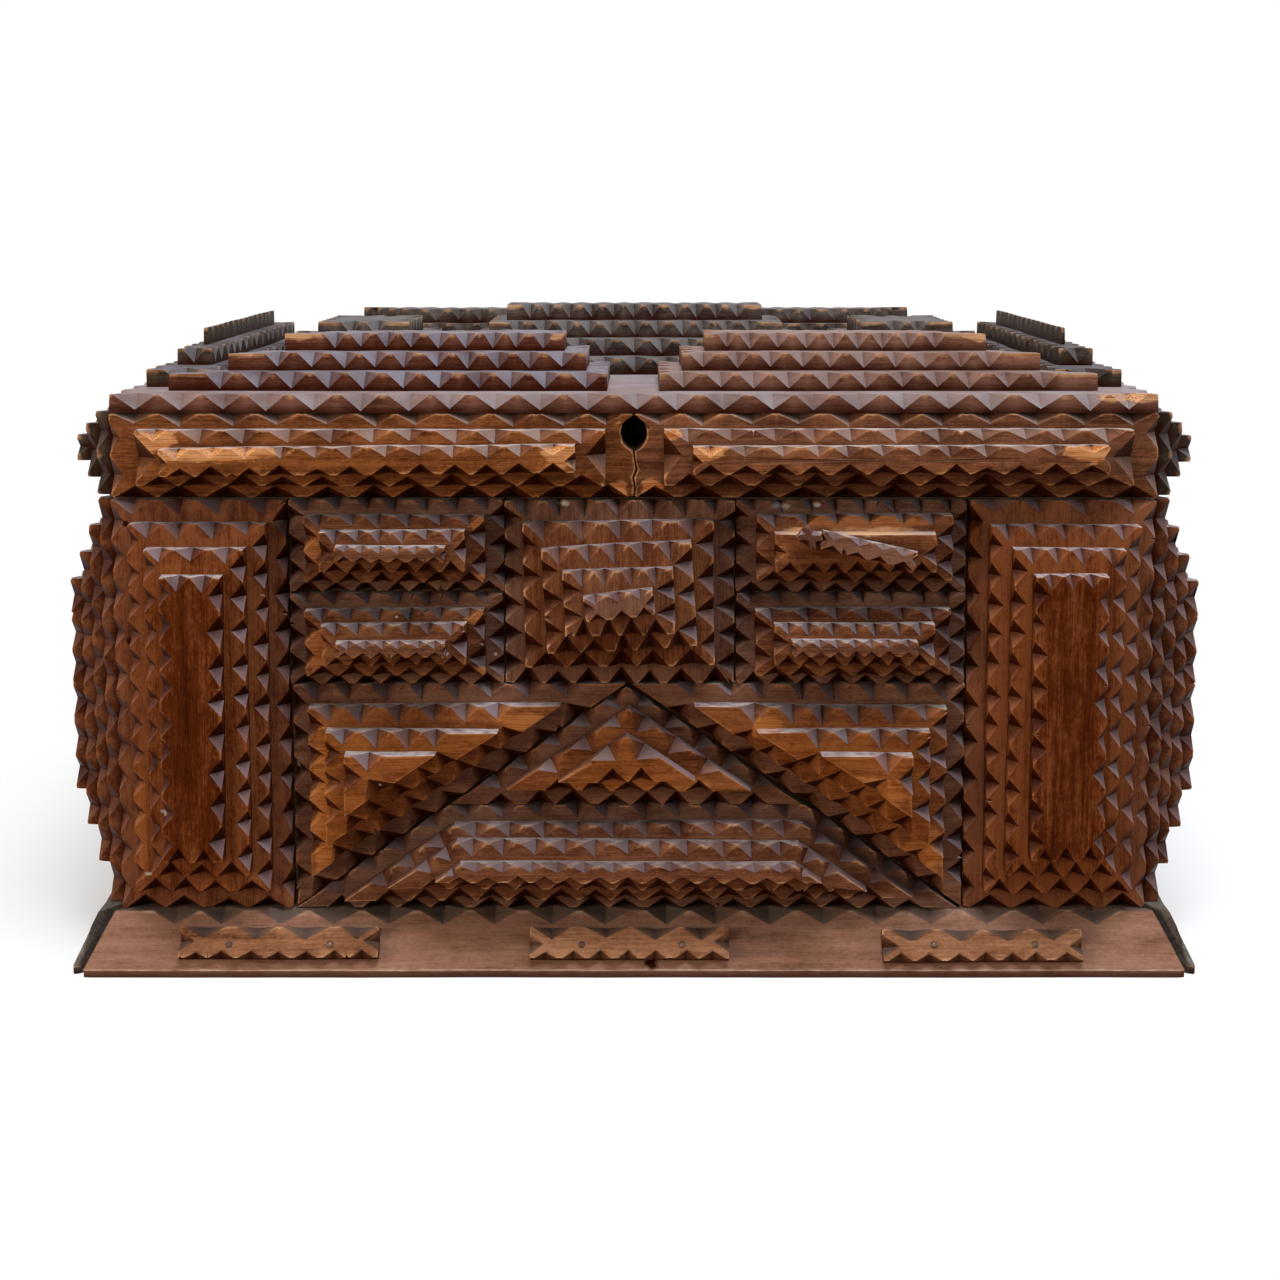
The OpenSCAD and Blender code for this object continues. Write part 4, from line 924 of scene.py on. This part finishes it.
draw = np.random.default_rng(TORN_SEED)
outline, steps = rectangle(*node_span(TORN, "front")), np.array(PANEL_STEPS)
origin, rise = node_origin(TORN, "front"), LAYER_T + GLUE
layers = stack_layers(TORN, "front", outline, steps, PANEL_PITCHES[:2], PANEL_TONES, draw,
                      dulls=PANEL_DULLS)
broken = broken_layer(outline, steps, draw)
layers.append(place_layer(broken, "front", origin, 2 * rise, False, BROKEN_TONE, draw))
layers += [place_layer(loose_strip(*strip, draw), "front", origin, 3 * rise + LOOSE_LIFT, False,
                       LOOSE_TONE, draw, LOOSE_DULL) for strip in LOOSE_STRIPS]
wood_piece(TORN, layers, "panel_wood", "carcass")

# %% [markdown]
# The corner triangles are three corners of their nodes' rectangles. The centre triangle has its
# peak in the middle, and the trapezoid's ends carry on the slope of its sides.

# %% Carve the lower field
TRIANGLE_PITCHES, TRAPEZOID_PITCHES = [9.4, 8.0, 7.2, 6.4], [9, 8.4, 7.6, 7]
TRIANGLE_TONES, TRAPEZOID_TONES = [0.45, 0.55, 0.65, 0.7], [0.5, 0.55, 0.6, 0.6]
TRIANGLE_DULLS, TRAPEZOID_DULLS = [0.7, 0.1, 0.0, 0.0], [0.8, 0.3, 0.2, 0.2]
TRIANGLE_STEP, SMALL_TRIANGLE_STEP, TRAPEZOID_STEP = 4.8, 4.2, 3.7
for node, corners in (("lower_left_triangle", [0, 2, 3]), ("lower_right_triangle", [1, 2, 3])):
    stack(node, "front", rectangle(*node_span(node, "front"))[corners], TRIANGLE_STEP, TRIANGLE_PITCHES,
          TRIANGLE_TONES, "orange_wood", "carcass", dulls=TRIANGLE_DULLS)

low, high = node_span("lower_centre_triangle", "front")
peak = [(low[0] + high[0]) / 2, high[1]]
stack("lower_centre_triangle", "front", np.array([low[:2], [high[0], low[1]], peak]), SMALL_TRIANGLE_STEP,
      TRIANGLE_PITCHES[:3], TRIANGLE_TONES[:3], "orange_wood", "carcass", dulls=TRIANGLE_DULLS)
slope = (peak[0] - low[0]) / (high[1] - low[1])
low, high = node_span("lower_trapezoid", "front")
lean = slope * (high[1] - low[1])
stack("lower_trapezoid", "front", rectangle(low, high) + [[0, 0], [0, 0], [-lean, 0], [lean, 0]],
      TRAPEZOID_STEP, TRAPEZOID_PITCHES, TRAPEZOID_TONES, "red_wood", "carcass", dulls=TRAPEZOID_DULLS)

# %% [markdown]
# ## The sides
# Each side of the case carries one large stack of four layers. From the front only their
# toothed front edges show, one step behind the other.

# %% Carve the side stacks
SIDE_STEPS = [8, 5.2, 8, 5.2]
SIDE_PITCHES = [10, 10, 9.4, 9]
SIDE_TONES, SIDE_DULLS = [0.6, 0.65, 0.65, 0.6], [0.3, 0.3, 0.3, 0.3]
for side in ("left", "right"):
    square_stack(side + "_side_stack", side, SIDE_STEPS, SIDE_PITCHES, SIDE_TONES, "dark_wood", "carcass",
                 reach=PILASTER_REACH, dulls=SIDE_DULLS)

# %% [markdown]
# ## The lid's front and sides
# The first layer of the lid's front is in two halves that meet at the keyhole, so each half has
# half of the hole in its inner end. The hole is where two circles overlap: a point at the top
# and at the bottom. Below it the halves meet in a crooked crack. Shorter layers follow on each
# half, and three layers on each lid side.

# %% Carve the lid's front
FACE_STEPS = [3.5, 7, 3.5, 7]
FACE_PITCHES = [11.3, 10.7, 8.4]
FACE_TONES = {"left": [0.5, 0.55, 0.65], "right": [0.42, 0.45, 0.52]}
FACE_DULLS = {"left": [0.05, 0.05, 0.0], "right": [0.3, 0.35, 0.25]}
KEYHOLE_HALF_W, KEYHOLE_HALF_H, KEYHOLE_Z = 3.15, 4.7, 135.0
KEYHOLE_POINTS, KEYHOLE_WALL, CORE_WALL = 9, 1, 0.5
HALF_GAP = 0.12
CRACK = np.array([0.25, 0.75, -0.15, 0.45])


def keyhole_edge(u):
    """Points down one side of the keyhole, from u above its middle to u below it.
    On a circle of radius r through both points, x = sqrt(r * r - z * z) - (r - half width)."""
    r = (KEYHOLE_HALF_W ** 2 + KEYHOLE_HALF_H ** 2) / (2 * KEYHOLE_HALF_W)
    reach = math.sqrt(r * r - (u + r - KEYHOLE_HALF_W) ** 2)
    z = np.linspace(reach, -reach, KEYHOLE_POINTS)
    return np.stack([np.sqrt(r * r - z * z) - (r - KEYHOLE_HALF_W), KEYHOLE_Z + z], axis=1)


def crack_edge(top, bottom, hand):
    """Points down the crack from top to bottom; hand is 1 for the right half and -1 for the left."""
    z = np.linspace(top, bottom, len(CRACK) + 2)[1:-1]
    return np.stack([HALF_GAP + hand * CRACK, z], axis=1)


def lid_face(side):
    """First layer of half of the lid's front; the left half is the right half's mirror image."""
    node = f"lid_front_{side}_face"
    low, high = node_span(node, "front")
    far = max(high[0], -low[0])
    hand = 1 if side == "right" else -1
    hole = keyhole_edge(HALF_GAP)
    crack = crack_edge(hole[-1, 1], low[1], hand)
    outline = np.concatenate([rectangle((HALF_GAP, low[1]), (far, high[1])), hole, crack])
    carved = np.arange(len(outline)) < 3
    reach = CHIP_REACH * min(FACE_STEPS)
    core = rectangle((KEYHOLE_HALF_W + KEYHOLE_WALL, low[1] + reach + CORE_WALL),
                     (far - reach - CORE_WALL, high[1] - reach - CORE_WALL))
    if side == "left":
        outline, core = (outline * [-1, 1])[::-1], (core * [-1, 1])[::-1]
        carved = np.roll(carved[::-1], -1)
    draw = np.random.default_rng(len(side))
    depths = np.where(carved, reach, 0)
    layer = carved_layer(outline, FACE_PITCHES[0], depths, LAYER_T, draw, carved=carved, core=core)
    placed = place_layer(layer, "front", node_origin(node, "front"), 0, False, FACE_TONES[side][0], draw,
                         FACE_DULLS[side][0])
    wood_piece(node, [placed], "lid_wood", "lid")


for side in ("left", "right"):
    lid_face(side)
    square_stack(f"lid_front_{side}_stack", "front", FACE_STEPS, FACE_PITCHES[1:], FACE_TONES[side][1:],
                 "lid_wood", "lid", dulls=FACE_DULLS[side][1:])

# %% Carve the lid's sides
LID_SIDE_STEPS = [3.5, 6, 3.5, 6]
LID_SIDE_TONES = [0.4, 0.45, 0.5]
for side in ("left", "right"):
    square_stack(f"lid_{side}_stack", side, LID_SIDE_STEPS, FACE_PITCHES, LID_SIDE_TONES,
                 "green_wood", "lid")

# %% [markdown]
# ## The lid's top
# The lid board has a row of wide chips round its edge, and its underside is plain board wood.
# On it stand four corner stacks with mitred outer ends, a dark strip along each side and a row of
# three stacks in the middle.

# %% Carve the lid board
BOARD_PITCH, BOARD_TONE, BOARD_SEED = 11, 0.8, 7
UNDERSIDE = 0.35
low, high = node_span("lid_board", "top")
draw = np.random.default_rng(BOARD_SEED)
board = carved_layer(rectangle(low, high), BOARD_PITCH, [CHIP_REACH * LAYER_T] * 4, high[2] - low[2], draw)
placed = place_layer(board, "top", node_origin("lid_board", "top"), 0, False, BOARD_TONE, draw)
board_mesh = wood_piece("lid_board", [placed], "top_board_wood", "lid").data
board_mesh.materials.append(finishes["board_wood_x"])
places = np.empty(3 * len(board_mesh.vertices))
corners = np.empty(len(board_mesh.loops), int)
starts = np.empty(len(board_mesh.polygons), int)
board_mesh.vertices.foreach_get("co", places)
board_mesh.loops.foreach_get("vertex_index", corners)
board_mesh.polygons.foreach_get("loop_start", starts)
highest = np.maximum.reduceat(places[2::3][corners], starts)
under = highest < (low[2] + UNDERSIDE) * MM
board_mesh.polygons.foreach_set("material_index", under.astype(np.int32))

# %% Carve the stacks on top
TOP_PITCHES = [9, 7.8, 6.6, 6]
TOP_TONES, CORNER_TONES = [0.45, 0.5, 0.55, 0.6], [0.5, 0.55, 0.65]
CORNER_REACH = 0.6
CORNER_FRONT, CORNER_INNER, CORNER_MITRE = 8, 5.8, 3.4
CORNER_FINISH = {"front_left": "top_red_wood", "front_right": "top_brown_wood",
                 "back_left": "grey_wood", "back_right": "grey_wood"}
for place, finish in CORNER_FINISH.items():
    node = f"top_{place}_stack"
    low, high = node_span(node, "top")
    width, depth = (high - low)[:2]
    shape = np.array([[0, 0], [width, 0], [width - depth, depth], [0, depth]])
    steps = np.array([CORNER_FRONT, CORNER_MITRE, CORNER_MITRE, CORNER_INNER])
    right, front = "right" in place, "front" in place
    shape = shape * [1 if right else -1, 1 if front else -1]
    shape = shape + [low[0] if right else high[0], low[1] if front else high[1]]
    if right != front:
        shape, steps = shape[::-1], np.roll(steps[::-1], -1)
    stack(node, "top", shape, steps, TOP_PITCHES[:3], CORNER_TONES, finish, "lid",
          t=TOP_LAYER_T, reach=CORNER_REACH)

STRIP_STEPS, MIDDLE_STEPS = [14, 4, 14, 4], [9.6, 5, 9.6, 5]
for node, steps, count, finish in (
        ("top_left_strip", STRIP_STEPS, 3, "green_wood"),
        ("top_right_strip", STRIP_STEPS, 3, "green_wood"),
        ("top_left_stack", MIDDLE_STEPS, 3, "grey_wood"),
        ("top_right_stack", MIDDLE_STEPS, 3, "grey_wood"),
        ("top_centre_stack", MIDDLE_STEPS, 4, "grey_wood")):
    square_stack(node, "top", steps, TOP_PITCHES[:count], TOP_TONES, finish, "lid", t=TOP_LAYER_T)

# %% [markdown]
# ## The plinth
# Four sloping mouldings run round the foot, mitred at the corners, with wide chips along their upper edges
# that hold old dust and painted shade. The front one has shrunk, so its mitres stand a little open and the
# ends of the side mouldings show, darkened with dirt and painted shade, with their feet worn round.
# A moulding is a section carried along a line. Its columns follow the folds of the chips, as on a
# carved edge, but here the chip lies on the edge between the slope and the flat top.

# %% Work out a moulding's columns
PLINTH_H, PLINTH_LIP, PLINTH_TOP = 14.4, 2.0, 5.4
PLINTH_PITCH, PLINTH_CHIP_IN, PLINTH_CHIP_DOWN = 14.0, 3.6, 3.5
TOE_ROWS, TOE_SHARES = slice(1, 5), np.array([[1.0], [0.85], [0.8], [0.75]])
LIP_ROW, CHIP_ROW, EDGE_ROW = 3, 5, 6
LIP_ROUND = 0.6
NOTCH_FOLD = np.array([-1.0, 0.0, 1.0])
NOTCH_HALF, NOTCH_MOST = 0.46, 0.97
NOTCH_STRAY, HALF_STRAY, NOTCH_CUT_STRAY, NOTCH_CUT_RANGE = 0.03, 0.02, 0.12, (0.75, 1.1)
END_BACKS, WEAR_POWER = np.array([3.0, 1.5, 0.5, 0.0]), 2.5
PLAIN_END = 6.2


def moulding_section(reach):
    """Section (out, up): wall foot, toe, the lip with a point on each side of it, end of the chips,
    upper edge, start of the chips, wall top."""
    edge, lip = np.array([PLINTH_TOP, PLINTH_H]), np.array([reach, PLINTH_LIP])
    down = (lip - edge) / np.linalg.norm(lip - edge)
    return np.array([[0, 0], [reach, 0], lip - [0, LIP_ROUND], lip, lip - down * LIP_ROUND,
                     edge + down * PLINTH_CHIP_DOWN, edge, edge - [PLINTH_CHIP_IN, 0], [0, PLINTH_H]])


def notch_columns(length, draw):
    """Columns of the chips on an upper edge: run at the slope, run at the edge and share of the cut.
    Each chip has a tooth before it, and three columns that spread from one point of the slope."""
    count = round(length / PLINTH_PITCH)
    step = length / count
    ends = -length / 2 + step * np.arange(count + 1)
    middle = ends[:-1] + step * (0.5 + NOTCH_STRAY * draw.normal(size=count))
    half = step * (NOTCH_HALF + HALF_STRAY * draw.normal(size=count))
    half = np.minimum(half, NOTCH_MOST * np.minimum(middle - ends[:-1], ends[1:] - middle))
    cut = (1 + NOTCH_CUT_STRAY * draw.normal(size=count)).clip(*NOTCH_CUT_RANGE)
    still = np.concatenate([ends[:-1, None], np.repeat(middle[:, None], 3, axis=1)], axis=1)
    spread = np.concatenate([ends[:-1, None], middle[:, None] + NOTCH_FOLD * half[:, None]], axis=1)
    share = np.concatenate([np.zeros((count, 1)), cut[:, None] * (1 - np.abs(NOTCH_FOLD))], axis=1)
    return (np.append(still.ravel(), ends[-1]), np.append(spread.ravel(), ends[-1]),
            np.append(share.ravel(), 0.0))


def mitred_end(section, half_l, lengthen, open_mitre, foot_wear):
    """Last columns of a moulding's right end, (run, out, up) each: the mitre, with the toe worn round,
    and a cap. At the distance d from the wall the end lies at half_l + d * lengthen - open_mitre."""
    worn_in = foot_wear * (1 - END_BACKS / END_BACKS[0]) ** WEAR_POWER
    place = np.repeat(section[:, None], len(END_BACKS), axis=1)
    place[TOE_ROWS, :, 0] -= TOE_SHARES * worn_in
    run = half_l + place[..., 0] * lengthen - open_mitre - END_BACKS
    columns = np.concatenate([run[..., None], place], axis=2)
    cap = np.ones((len(section), 1, 1)) * columns[:, -1:].mean(axis=0)
    return np.concatenate([columns, cap], axis=1)

# %% Make the plinth mouldings
UPWARD = np.array([0, 0, 1.0])
PLINTH_WAVE, PLINTH_TONE, PLINTH_BEVEL, PLINTH_SEED = (0.08, 36), 0.5, 0.25, 3
# The notches, the toe and the mitred ends count as deep, which darkens them with dirt and painted shade.
EDGE_WORN, NOTCH_DEEP, END_DEEP = 0.8, 0.8, 0.35
TOE_DEEP = [[0.9], [0.55]]
FRONT_GAP, BACK_GAP, SIDE_GAP = 3.0, 0.1, 0.05
FRONT_WEAR, SIDE_WEAR = 0.3, 2.6
half_w, half_d = (abs(c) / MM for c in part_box("front_board")[0][:2])
front_reach = -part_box("front_plinth")[0][1] / MM - half_d
side_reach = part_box("right_plinth")[1][0] / MM - half_w


def wall_sizes(out):
    """A wall's distance from the middle, half its length, its moulding's reach and the next one's."""
    if out[0]:
        return half_w, half_d, side_reach, front_reach
    return half_d, half_w, front_reach, side_reach


def moulding(out, open_mitre, foot_wear, draw):
    """One mitred moulding: its section carried along the wall, with chips cut into the upper edge."""
    wall, half_l, reach, end_reach = wall_sizes(out)
    section = moulding_section(reach)
    still, spread, share = notch_columns(2 * half_l - 2 * PLAIN_END, draw)
    middle = np.concatenate([np.tile(still, (len(section), 1))[..., None],
                             np.repeat(section[:, None], len(still), axis=1)], axis=2)
    cut = (section[CHIP_ROW] + section[EDGE_ROW + 1]) / 2 - section[EDGE_ROW]
    middle[EDGE_ROW, :, 0] = spread
    middle[EDGE_ROW, :, 1:] += share[:, None] * cut
    right = mitred_end(section, half_l, end_reach / reach, open_mitre, foot_wear)
    left = right[:, ::-1] * [-1, 1, 1]
    local = np.concatenate([left, middle, right], axis=1)
    size = right.shape[1]
    worn, deep = np.zeros(local.shape[:2]), np.zeros(local.shape[:2])
    worn[LIP_ROW] = 1.0
    worn[EDGE_ROW, size:-size] = EDGE_WORN * (share == 0)
    deep[1:LIP_ROW] = TOE_DEEP
    deep[EDGE_ROW, size:-size] = NOTCH_DEEP * share
    deep[:, [0, 1, -2, -1]] = END_DEEP
    out = np.array(out, float)
    grid = local.reshape(-1, 3)
    points = grid @ np.array([np.cross(UPWARD, out), out, UPWARD]) + wall * out
    points = points + ripple(points, *PLINTH_WAVE, draw) * [1, 1, 0]
    cell = np.arange(worn.size).reshape(worn.shape)
    above = np.roll(cell, -1, axis=0)
    quads = np.stack([cell[:, :-1], cell[:, 1:], above[:, 1:], above[:, :-1]], axis=-1).reshape(-1, 4)
    grain = grid + draw.uniform(-GRAIN_AWAY, GRAIN_AWAY, 3)
    return (points, quads, worn.ravel(), deep.ravel(), grain, np.full(len(points), PLINTH_TONE),
            np.zeros(len(points)))


draw = np.random.default_rng(PLINTH_SEED)
for side, out, gap, wear, finish in (
        ("front", (0, -1, 0), FRONT_GAP, FRONT_WEAR, "plinth_wood"),
        ("back", (0, 1, 0), BACK_GAP, FRONT_WEAR, "plinth_wood"),
        ("left", (-1, 0, 0), SIDE_GAP, SIDE_WEAR, "dusty_wood"),
        ("right", (1, 0, 0), SIDE_GAP, SIDE_WEAR, "dusty_wood")):
    wood_piece(side + "_plinth", [moulding(out, gap, wear, draw)], finish, "carcass", bevel=PLINTH_BEVEL)

# %% [markdown]
# ## The plinth's strips
# Short strips with fish-tail ends are nailed to the slope of the plinth, three in front and two
# on each side. Each is a single thin layer with four wide chips along its upper edge, seven small
# ones along its lower edge and one chip in each end, which makes the fish tail. Two brads with
# round heads hold each strip.

# %% Carve the fish-tailed strips
STRIP_L, STRIP_W, STRIP_T, STRIP_DROP = 49.5, 7.6, 2.6, 8.6
STRIP_PITCHES = [6.9, STRIP_W, 12.2, STRIP_W]
STRIP_CUTS = [1.7, 3.7, 2.9, 3.7]
STRIP_CORE = (5, -0.9, 0.6)
STRIP_TURN, STRIP_SLIP, STRIP_BLUNT, STRIP_WAVE = 0.4, 0.25, 0.25, (0.06, 30)
# The strips' chips are darkened twice as much by depth: dirt and painted shade.
STRIP_TONES, STRIP_DIRT_AND_SHADE, STRIP_SEED = (0.35, 0.75, 0.5), 2.0, 11
STRIP_MIDDLES = {(0, -1, 0): (-88.5, -1.0, 86.5), (-1, 0, 0): (-42, 42), (1, 0, 0): (-42, 42)}


def on_slope(points, out):
    """Moves points (along, up, off) from the slope of a moulding to the box; zero is the middle of
    the moulding's upper edge."""
    wall, _, reach, _ = wall_sizes(out)
    slope = math.atan2(PLINTH_H - PLINTH_LIP, reach - PLINTH_TOP)
    out = np.array(out, float)
    climb = -math.cos(slope) * out + math.sin(slope) * UPWARD
    leave = math.sin(slope) * out + math.cos(slope) * UPWARD
    top = out * (wall + PLINTH_TOP) + UPWARD * PLINTH_H
    return top + points @ np.array([np.cross(climb, leave), climb, leave])


def fish_tail_layers(out, middles, draw):
    """Strips on a moulding's slope, each a rectangle with chips in all its edges."""
    shape = rectangle((-STRIP_L / 2, -STRIP_W / 2), (STRIP_L / 2, STRIP_W / 2))
    end, bottom, top = STRIP_CORE
    core = rectangle((-STRIP_L / 2 + end, bottom), (STRIP_L / 2 - end, top))
    layers = []
    for middle, tone in zip(middles, STRIP_TONES):
        points, quads, worn, deep, shade = carved_layer(
            nudge(shape, draw, STRIP_TURN, STRIP_SLIP), STRIP_PITCHES, STRIP_CUTS, STRIP_T, draw,
            blunt=STRIP_BLUNT, core=core)
        grain = points + draw.uniform(-GRAIN_AWAY, GRAIN_AWAY, 3)
        points = points + [middle, -STRIP_DROP, GLUE] + ripple(points, *STRIP_WAVE, draw)
        layers.append((on_slope(points, out), quads, worn, np.minimum(1.0, STRIP_DIRT_AND_SHADE * deep), grain,
                       tone + CHIP_TONE * shade, np.zeros(len(points))))
    return layers


draw = np.random.default_rng(STRIP_SEED)
front, left, right = (fish_tail_layers(out, middles, draw) for out, middles in STRIP_MIDDLES.items())
wood_piece("front_plinth_strips", front, "strip_wood", "carcass")
wood_piece("side_plinth_strips", left + right, "strip_wood", "carcass")

# %% [markdown]
# ## Boards, back and metal
# The plain boards, the back panels and the metalwork come straight from the CAD model. They only
# need a finish and a narrow bevel on the edges.

# %% Finish the plain wood and the metal
METAL_EDGE, WOOD_EDGE = 0.15, 0.3
TARNISH_PER_MM, TARNISH_DETAIL, TARNISH_RANGE = (0.35, 0.35, 0.35), 5.0, (0.35, 0.65)
TARNISH_ROUGH = 0.25
SAME_CORNER = 0.001
METALS = {"old_brass": ((0.42, 0.29, 0.13), (0.25, 0.165, 0.08), 0.42),
          "dark_lock": ((0.03, 0.022, 0.015), (0.012, 0.009, 0.007), 0.6),
          "old_steel": ((0.30, 0.29, 0.28), (0.12, 0.09, 0.07), 0.5),
          "brad_iron": ((0.14, 0.095, 0.070), (0.07, 0.042, 0.030), 0.55)}
NODE_FINISH = {
    "board_wood_x": ["front_board", "back_board", "bottom_board", "lid_front_rail", "lid_back_rail"],
    "board_wood_y": ["left_board", "right_board", "lid_left_rail", "lid_right_rail"],
    "back_wood": ["back_panel", "lid_back_panel"],
    "old_brass": ["left_hinge_body_leaf", "right_hinge_body_leaf", "left_hinge_lid_leaf",
                  "right_hinge_lid_leaf", "lock_staple"],
    "dark_lock": ["lock_plate", "lock_cap", "lock_bolt"],
    "old_steel": ["left_hinge_pin", "right_hinge_pin", "body_hinge_screws", "lid_hinge_screws",
                  "lock_screws", "staple_screws"],
}


def metal(name, bright, dull, rough):
    """Metal with patches of tarnish: noise mixes its bright and its dull colour."""
    material, tree = start_material(name)
    shader = tree.nodes["Principled BSDF"]
    place = grain_place(tree, tree.nodes.new("ShaderNodeTexCoord"), "x")
    tarnish = ease(tree, speckle(tree, place, TARNISH_PER_MM, TARNISH_DETAIL), *TARNISH_RANGE)
    plug(tree, shader.inputs["Base Color"], blend(tree, tarnish, bright, dull))
    rough = calc(tree, "MULTIPLY_ADD", tarnish, TARNISH_ROUGH, rough + SMOOTHER)
    plug(tree, shader.inputs["Roughness"], rough)
    shader.inputs["Metallic"].default_value = 1.0
    return material


finishes.update({name: metal(name, *settings) for name, settings in METALS.items()})
for finish, nodes in NODE_FINISH.items():
    for node in nodes:
        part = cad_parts[node]
        part.data.materials.clear()
        part.data.materials.append(finishes[finish])
        weld = part.modifiers.new("weld", "WELD")
        weld.merge_threshold = SAME_CORNER * MM
        round_edges(part, METAL_EDGE if finish in METALS else WOOD_EDGE)
    print(finish, "on", len(nodes), "nodes")

# %% [markdown]
# The brads on the plinth are too small for the CAD model. Each head is a dome, a quarter ellipse
# turned about its own axis, and its foot goes a little way into the strip.

# %% Drive the brads
BRAD_R, BRAD_UP, BRAD_FOOT = 0.85, 0.55, 0.3
BRAD_SIDES, BRAD_RINGS = 12, 4
BRAD_RUNS, BRAD_LOW = (-12.0, 13.0), 0.3


def brad_head():
    """Dome (u, v, out): at the angle a it lies r * cos(a) from its axis and BRAD_UP * sin(a) high."""
    rise, turn = np.meshgrid(np.linspace(0, math.pi / 2, BRAD_RINGS),
                             np.linspace(0, 2 * math.pi, BRAD_SIDES, endpoint=False), indexing="ij")
    dome = np.stack([BRAD_R * np.cos(rise) * np.cos(turn), BRAD_R * np.cos(rise) * np.sin(turn),
                     BRAD_UP * np.sin(rise)], axis=-1)
    foot = dome[:1] - [0, 0, BRAD_FOOT]
    closed = dome[:1] * [0, 0, 0] - [0, 0, BRAD_FOOT]
    points = np.concatenate([closed, foot, dome])
    return points.reshape(-1, 3), ring_quads(points.shape[:2])


head, head_quads = brad_head()
heads = np.concatenate([
    on_slope(head + [middle + run, -STRIP_DROP - BRAD_LOW, STRIP_T + GLUE], out)
    for out, middles in STRIP_MIDDLES.items() for middle in middles for run in BRAD_RUNS])
count = len(heads) // len(head)
first, faces = merge_doubles(heads, np.concatenate([head_quads + k * len(head) for k in range(count)]))
brads = add_object("strip_brads", heads[first], faces, finishes["brad_iron"])
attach(brads, "carcass")
print(count, "brads")
